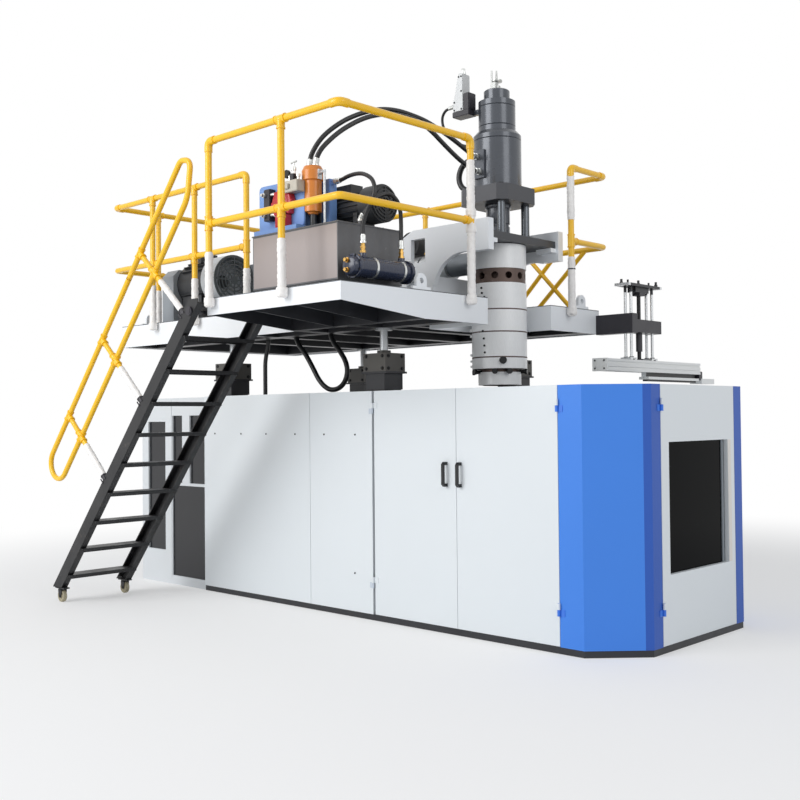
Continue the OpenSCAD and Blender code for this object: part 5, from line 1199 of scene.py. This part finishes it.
# %% Screws of the platform
tank_spots = [(x, y) for x in range(-780, 90, 106) for y in (-1768, -1192)]
tank_spots += [(x, y) for y in range(-1662, -1240, 106) for x in (-780, 68)]
platform_places = [((x, y, 2788), UP, 8) for x, y in tank_spots]
platform_places += [((x, y, 3262), UP, 24) for x in (-150, 150) for y in (-150, 150)]
platform_places += [((x, y, 3676), UP, 9) for x, y in on_circle(12, 165)]
screws("platform_screws", platform_places)

# %% [markdown]
# The heating shell is made of pairs of half bands. A dark gap shows between them, and each pair is
# drawn together by a row of clamp screws. A plug closes the sight hole, and small black screws set
# the die.

# %% The head's small parts
seam_profile = [(205, -5), (213.6, -5), (214.6, -3), (214.6, 3), (213.6, 5), (205, 5)]
seam_mesh = bmesh.new()
for z in (1955, 2149, 2320):
    turned(seam_mesh, seam_profile, (0, 0, z), UP, 72)
piece("shell_seams", seam_mesh, "heat-tinted steel")
shell_spots = [
    (484, 338.5, 8), (484.5, 345.5, 8), (485, 352.5, 8), (483, 331, 8), (481.5, 288, 8), (482, 293, 8),
    (484.5, 297, 8), (503, 360, 27),
]
shell_places = [(*seen_at("heater_bands", u, v), radius) for u, v, radius in shell_spots]
screws("shell_screws", shell_places, "platform", 24, 0.8, 1.05)
die_chains = []
for degrees in (-62, -30, 28, 118, 152, 208, 242):
    angle = math.radians(degrees)
    die_chains.append([
        (out * math.cos(angle), out * math.sin(angle), 1846, r)
        for out, r in ((150, 13), (196, 13), (196.5, 21), (214, 21))
    ])
knob_x, knob_y, knob_z = landing("head_plates", (205, -330, 3000), DOWN)[0]
knob = [(0, 9), (34, 9), (35, 20), (46, 24), (54, 18)]
die_chains.append([(knob_x, knob_y, knob_z + z, r) for z, r in knob])
tubes("die_screws", die_chains, "black socket screw", sides=16)

# %% [markdown]
# The take-out unit lifts the finished container. Chromed guide rods pass through flanged bushes on
# the aluminium arm, and a black plate joins them at the top with three studs.

# %% The take-out's small parts
ROD_X, ROD_Y, ARM_X, ARM_Y = (558, 610), (925, 1245), 584, 1085
ARM_TOP = 1954


def upright(x, y, steps):
    """A chain on an upright line, from (height, radius) in mm."""
    return [(x, y, z, radius) for z, radius in steps]


lift_chains = [
    upright(x, y, [(1944, 27), (ARM_TOP, 27), (1954.5, 19), (1972, 19)]) for x in ROD_X for y in ROD_Y
]
lift_chains += [
    upright(ARM_X, y, [(2556, 15), (2566, 15), (2566.5, 8), (2592, 8)]) for y in (*ROD_Y, ARM_Y)
]
lift_chains.append(upright(ARM_X, ARM_Y, [(1944, 33), (1958, 33), (1958.5, 16), (2530, 16)]))
tubes("lift_bushes", lift_chains, "black socket screw", "lift", 20)
arm_places = [((x, 499.6, z), (0, -1, 0), 6) for x in (543, 625) for z in (1866, 1929)]
arm_places += [((x + d, y + d, ARM_TOP), UP, 5) for x in ROD_X for y in ROD_Y for d in (-19, 19)]
screws("arm_screws", arm_places, "lift", 6, 0.8, 1.1)
block_mesh = bmesh.new()
slab(block_mesh, (536, 1991, 1796), (632, 2052, 1878))
slab(block_mesh, (548, 1040, 2470), (620, 1130, 2536))
piece("takeout_blocks", softened(block_mesh, list(block_mesh.edges), 4), "black bracket enamel", "lift")

# %% [markdown]
# The window's far jamb wears a bright white silicone sleeve, beside a slim enamelled channel that
# holds the smoked pane. Both are long sections with rounded edges.

# %% The window's strips
SILL, LINTEL = 489, 1329
jamb_mesh = bmesh.new()
slab(jamb_mesh, (1676, 402, SILL), (1681, 446, LINTEL))
piece("window_jamb", softened(jamb_mesh, list(jamb_mesh.edges), 1.5), "white silicone sleeve", "end_door")
channel_mesh = bmesh.new()
for low_y, high_y in ((352, 380), (-399, -391)):
    slab(channel_mesh, (1647, low_y, SILL), (1656, high_y, LINTEL))
softened(channel_mesh, list(channel_mesh.edges), 1.5)
piece("window_channel", channel_mesh, "grey machine enamel", "end_door")

# %% [markdown]
# The pump set stands on the tank behind a folded blue sheet with a round shoulder: a cast red pump
# body, a black manifold beside it, a pale valve block with its small valves above, and the blue
# casing and manifold block behind.

# %% The pump set
TANK_TOP = 2788
PUMP_X, PUMP_FACE, PUMP_Z = -517, -1704, 2995


def rounded_outline(corners, radius, steps=5):
    """An outline in (x, z) with every corner rounded."""
    outline = []
    for before, corner, after in zip(corners[-1:] + corners, corners, corners[1:] + corners[:1]):
        outline += [point[:2] for point in bend((*before, 0), (*corner, 0), (*after, 0), radius, 0, steps)]
    return outline


guard_mesh = bmesh.new()
guard_corners = [(-816, 2822), (-330, 2822), (-330, 3118), (-480, 3146), (-816, 3152)]
prism(guard_mesh, rounded_outline(guard_corners, 36), PUMP_FACE, -1690)
slab(guard_mesh, (-790, -1776, TANK_TOP), (-330, -1690, TANK_TOP + 34))
slab(guard_mesh, (-400, -1550, TANK_TOP), (-240, -1482, 3150))
turned(guard_mesh, [(22, -1), (22, 26)], (-241, -1520, 3128), (1, 0, 0), 20)
turned(guard_mesh, [(56, 0), (56, 226), (50, 242), (36, 252), (14, 256)], (-432, -1628, TANK_TOP + 34), UP)
guard_sheet = piece("pump_guard_sheet", bevelled(guard_mesh, 2.5), "blue pump enamel")
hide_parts("pump_guard")
pump_mesh = bmesh.new()
turned(pump_mesh, [
    (96, 0), (100, 4), (100, 44), (94, 50), (80, 52), (76, 60), (60, 62), (56, 74), (34, 78), (14, 80),
], (PUMP_X, PUMP_FACE, PUMP_Z), (0, -1, 0), 40)
for k in range(8):
    angle = math.tau * k / 8
    bolt = (PUMP_X + 96 * math.cos(angle), PUMP_FACE, PUMP_Z + 96 * math.sin(angle))
    turned(pump_mesh, [(15, 0), (15, 47), (11, 50)], bolt, (0, -1, 0), 16)
slab(pump_mesh, (-575, -1760, TANK_TOP + 33), (-459, -1706, 2910))
slab(pump_mesh, (-560, -1752, 3075), (-474, -1706, 3124))
piece("pump_body", bevelled(pump_mesh, 3), "red pump enamel")
valve_mesh = bmesh.new()
slab(valve_mesh, (-459, -1776, 3048), (-320, -1705, 3128))
slab(valve_mesh, (-446, -1790, 3070), (-400, -1776, 3106))
piece("valve_block", bevelled(valve_mesh, 4), "bead-blasted valve block")
manifold_mesh = bmesh.new()
slab(manifold_mesh, (-704, -1756, 2886), (-636, PUMP_FACE, 3110))
slab(manifold_mesh, (-412, -1764, 3128), (-372, -1720, 3176))
slab(manifold_mesh, (-470, -1762, 3046), (-462, PUMP_FACE, 2836))
piece("pump_manifold", bevelled(manifold_mesh, 4), "black bracket enamel")

# %% [markdown]
# Short pipes and fittings join the pump's blocks. They are round sections along a line once more, so
# the tube works makes them. The gauge looks to the front, where a fitter reads it.

# %% Pipes and the gauge of the pump set
PIPE_Y = -1742
pipe_chains = []
for z in (2925, 3068):
    pipe_chains += [
        [(-690, y, z, radius) for y, radius in ((-1757, 17), (-1772, 17), (-1772.5, 11), (-1790, 11))],
        [(-640, -1740, z, 12), (-612, -1740, z, 12), (-600, -1738, z - 4, 12), (-590, -1734, z - 12, 12)],
    ]
pipe_chains += [
    upright(-392, PIPE_Y, [(3174, 12), (3200, 12), (3200.5, 18), (3222, 18), (3222.5, 7), (3250, 7)]),
    upright(-346, PIPE_Y, [(3127, 10), (3150, 10), (3150.5, 15), (3168, 15)]),
    [(-418, PIPE_Y, 3252, 6), (-364, PIPE_Y, 3258, 6)],
    [(x, PIPE_Y, z, 9) for x, z in ((-434, 3127), (-434, 3156), (-440, 3170), (-452, 3178))],
]
tubes("pump_pipes", pipe_chains, "zinc-plated steel", sides=14)
gauge_mesh = bmesh.new()
gauge_profile = [(27, 0), (29, 3), (29, 20), (26, 22), (25, 19), (2, 19)]
turned(gauge_mesh, gauge_profile, (-462, -1732, 3184), (0, -1, 0), 28)
piece("pressure_gauge", gauge_mesh, "black socket screw")

# %% [markdown]
# The oil cooler is a shell of tubes with a domed cover bolted to each end. Two bright straps hold it
# to the tank's side. Its ports are brass, and two brass plugs close the near cover, one above the
# other.

# %% The oil cooler
COOLER_X, COOLER_Z = 187, 2484
PORTS_Y = (-1650, -1290)
cooler_mesh = bmesh.new()
turned(cooler_mesh, [
    (12, -1790), (44, -1788), (60, -1779), (67, -1764), (68, -1748), (79, -1747), (80, -1744), (80, -1727),
    (79, -1724), (69, -1723), (69, -1263), (79, -1262), (80, -1259), (80, -1241), (79, -1238), (68, -1237),
    (66, -1222), (54, -1208), (20, -1200),
], (COOLER_X, 0, COOLER_Z), (0, 1, 0), 48)
for y in PORTS_Y:
    turned(cooler_mesh, [(30, 60), (26, 72), (24, 78), (24, 92)], (COOLER_X, y, COOLER_Z), UP, 24)
cooler = piece("cooler_shell", cooler_mesh, "oil cooler enamel")
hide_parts("oil_cooler")
brass_chains = []
for y in PORTS_Y:
    brass_chains.append(upright(COOLER_X, y, [
        (2575, 21), (2592, 21), (2592.5, 15), (2606, 15), (2606.5, 18), (2622, 18), (2622.5, 14), (2642, 14),
    ]))
for z in (2516, 2453):
    brass_chains.append([
        (COOLER_X, y, z, radius) for y, radius in ((-1786, 18), (-1800, 18), (-1800.5, 13), (-1818, 13))
    ])
tubes("cooler_brass", brass_chains, "yellow brass", sides=6)
strap_mesh = bmesh.new()
for y in (-1578, -1318):
    turned(strap_mesh, [(69.2, -9), (72.5, -9), (72.5, 9), (69.2, 9)], (COOLER_X, y, COOLER_Z), (0, 1, 0), 48)
    slab(strap_mesh, (85, y - 12, 2446), (124, y + 12, 2522))
piece("cooler_straps", strap_mesh, "zinc-plated steel")
screws("cover_screws", [
    ((COOLER_X + dx, y, COOLER_Z + dz), (0, way, 0), 6)
    for y, way in ((-1748, -1), (-1237, 1)) for dx, dz in on_circle(8, 74)
])

# %% [markdown]
# Between the yoke and the top plate the piston rod comes down to its split coupling. The transducer
# beside the cylinder has a round plug on top and a clamp nut under its block.

# %% The piston rod and the transducer's plug
rod_mesh = bmesh.new()
turned(rod_mesh, [
    (60, 2877.5), (118, 2878), (120, 2881), (120, 2906), (117, 2909), (94, 2910), (92, 2914), (92, 2968),
    (90, 2972), (84, 2974), (84, 2990), (90, 2992), (92, 2996), (92, 3112), (100, 3114), (102, 3118),
    (102, 3139.5), (60, 3139.5),
], (0, 0, 0), UP, 48)
piece("piston_rod", rod_mesh, "accumulator cylinder enamel")
screws("coupling_screws", [((x, y, 2909), UP, 7) for x, y in on_circle(10, 106)])
plug_mesh = bmesh.new()
plug_profile = [(19, -0.5), (21, 0), (21, 16), (16, 18), (16, 40), (13, 46), (6, 48)]
turned(plug_mesh, plug_profile, (-246, -110, 4203), UP, 24)
piece("transducer_plug", plug_mesh, "zinc-plated steel")

# %% [markdown]
# The servo valve is a tapered cast body on a steel block, with a black coil housing at its side and
# the hose's port at its back.

# %% The servo valve
servo_mesh = bmesh.new()
prism(servo_mesh, [
    (-319, 3905), (-216.5, 3905), (-216.5, 4194), (-234, 4205), (-256, 4205), (-268, 4190), (-300, 4040),
    (-319, 4000),
], -155, -65)
turned(servo_mesh, [(15, 0), (15, 25)], (-343, -110, 3965), (1, 0, 0), 24)
servo = piece("servo_valve_body", bevelled(servo_mesh, 4), "servo valve aluminium")
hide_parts("servo_valve")
coil_mesh = bmesh.new()
slab(coil_mesh, (-216, -150, 3905.5), (-160, -60, 4040))
slab(coil_mesh, (-319, -165, 3860), (-150, -60, 3904.5))
piece("servo_coil_and_block", bevelled(coil_mesh, 5), "black bracket enamel")
servo_spots = [(-304, 3920), (-232, 3920), (-304, 3982), (-232, 4060), (-232, 4176), (-256, 4176)]
screws("servo_screws", [((x, -155, z), (0, -1, 0), 6) for x, z in servo_spots])

# %% [markdown]
# The studio is a pale floor and an even sky. For the camera, and in reflections, the sky and the far
# floor are plain white, but the near floor stays a real surface, so it keeps the machine's shadow.

# %% Sky and floor
world = bpy.data.worlds.new("studio")
bpy.context.scene.world = world
world.use_nodes = True
sky = world.node_tree
sky.nodes.clear()
ray = add(sky, "ShaderNodeLightPath")
seen = add(sky, "ShaderNodeMath", {
    0: ray.outputs["Is Camera Ray"], 1: ray.outputs["Is Transmission Ray"],
}, operation="MAXIMUM").outputs[0]
seen = add(sky, "ShaderNodeMath", {0: seen, 1: ray.outputs["Is Glossy Ray"]}, operation="MAXIMUM").outputs[0]
soft = add(sky, "ShaderNodeBackground", {"Color": linear("#F1F4F8"), "Strength": 0.58})
white = add(sky, "ShaderNodeBackground", {"Color": (1, 1, 1, 1), "Strength": 1.0})
both = add(sky, "ShaderNodeMixShader", {0: seen, 1: soft.outputs[0], 2: white.outputs[0]})
add(sky, "ShaderNodeOutputWorld", {0: both.outputs[0]})

floor_material = bpy.data.materials.new("pale studio floor")
floor_material.use_nodes = True
ground = floor_material.node_tree
ground.nodes.clear()
ray = add(ground, "ShaderNodeLightPath")
seen = add(ground, "ShaderNodeMath", {
    0: ray.outputs["Is Camera Ray"], 1: ray.outputs["Is Glossy Ray"],
}, operation="MAXIMUM").outputs[0]
spot = add(ground, "ShaderNodeTexCoord").outputs["Object"]
distance = add(ground, "ShaderNodeVectorMath", {0: spot}, operation="LENGTH").outputs["Value"]
far = add(ground, "ShaderNodeMapRange", {
    0: distance, 1: 3.5, 2: 9.0, 3: 0.35, 4: 1.0,
}, interpolation_type="SMOOTHSTEP").outputs[0]
share = add(ground, "ShaderNodeMath", {0: far, 1: seen}, operation="MULTIPLY").outputs[0]
pale = add(ground, "ShaderNodeBsdfDiffuse", {"Color": linear("#F2F2F2")})
glow = add(ground, "ShaderNodeEmission", {"Color": (1, 1, 1, 1), "Strength": 1.0})
both = add(ground, "ShaderNodeMixShader", {0: share, 1: pale.outputs[0], 2: glow.outputs[0]})
add(ground, "ShaderNodeOutputMaterial", {0: both.outputs[0]})
floor_mesh = bmesh.new()
bmesh.ops.create_grid(floor_mesh, x_segments=2, y_segments=2, size=60.0)
floor_data = bpy.data.meshes.new("floor")
floor_mesh.to_mesh(floor_data)
floor_mesh.free()
floor_data.materials.append(floor_material)
floor = bpy.data.objects.new("floor", floor_data)
bpy.context.scene.collection.objects.link(floor)

# %% [markdown]
# One large soft light stands to the front left, above the railings. It makes the long front bright
# and leaves the window end a step darker, as in the photo. A weaker one fills from the right.

# %% Lights
def soft_box(name, place, aim, size, watts):
    """A square area light that faces a point."""
    data = bpy.data.lights.new(name, "AREA")
    data.shape = "SQUARE"
    data.size = size
    data.energy = watts
    lamp = bpy.data.objects.new(name, data)
    bpy.context.scene.collection.objects.link(lamp)
    lamp.location = place
    lamp.rotation_mode = "QUATERNION"
    lamp.rotation_quaternion = (Vector(aim) - Vector(place)).to_track_quat("-Z", "Y")
    return lamp


soft_box("key", (-3.4, -11.0, 6.2), (-0.8, 0, 1.9), 7.0, 720)
soft_box("fill", (10.0, -1.5, 6.5), (0, -0.3, 2.8), 5.0, 185)
bpy.context.scene.view_settings.view_transform = "Standard"

# %% Sizes of the solid model
low, high = cad_box
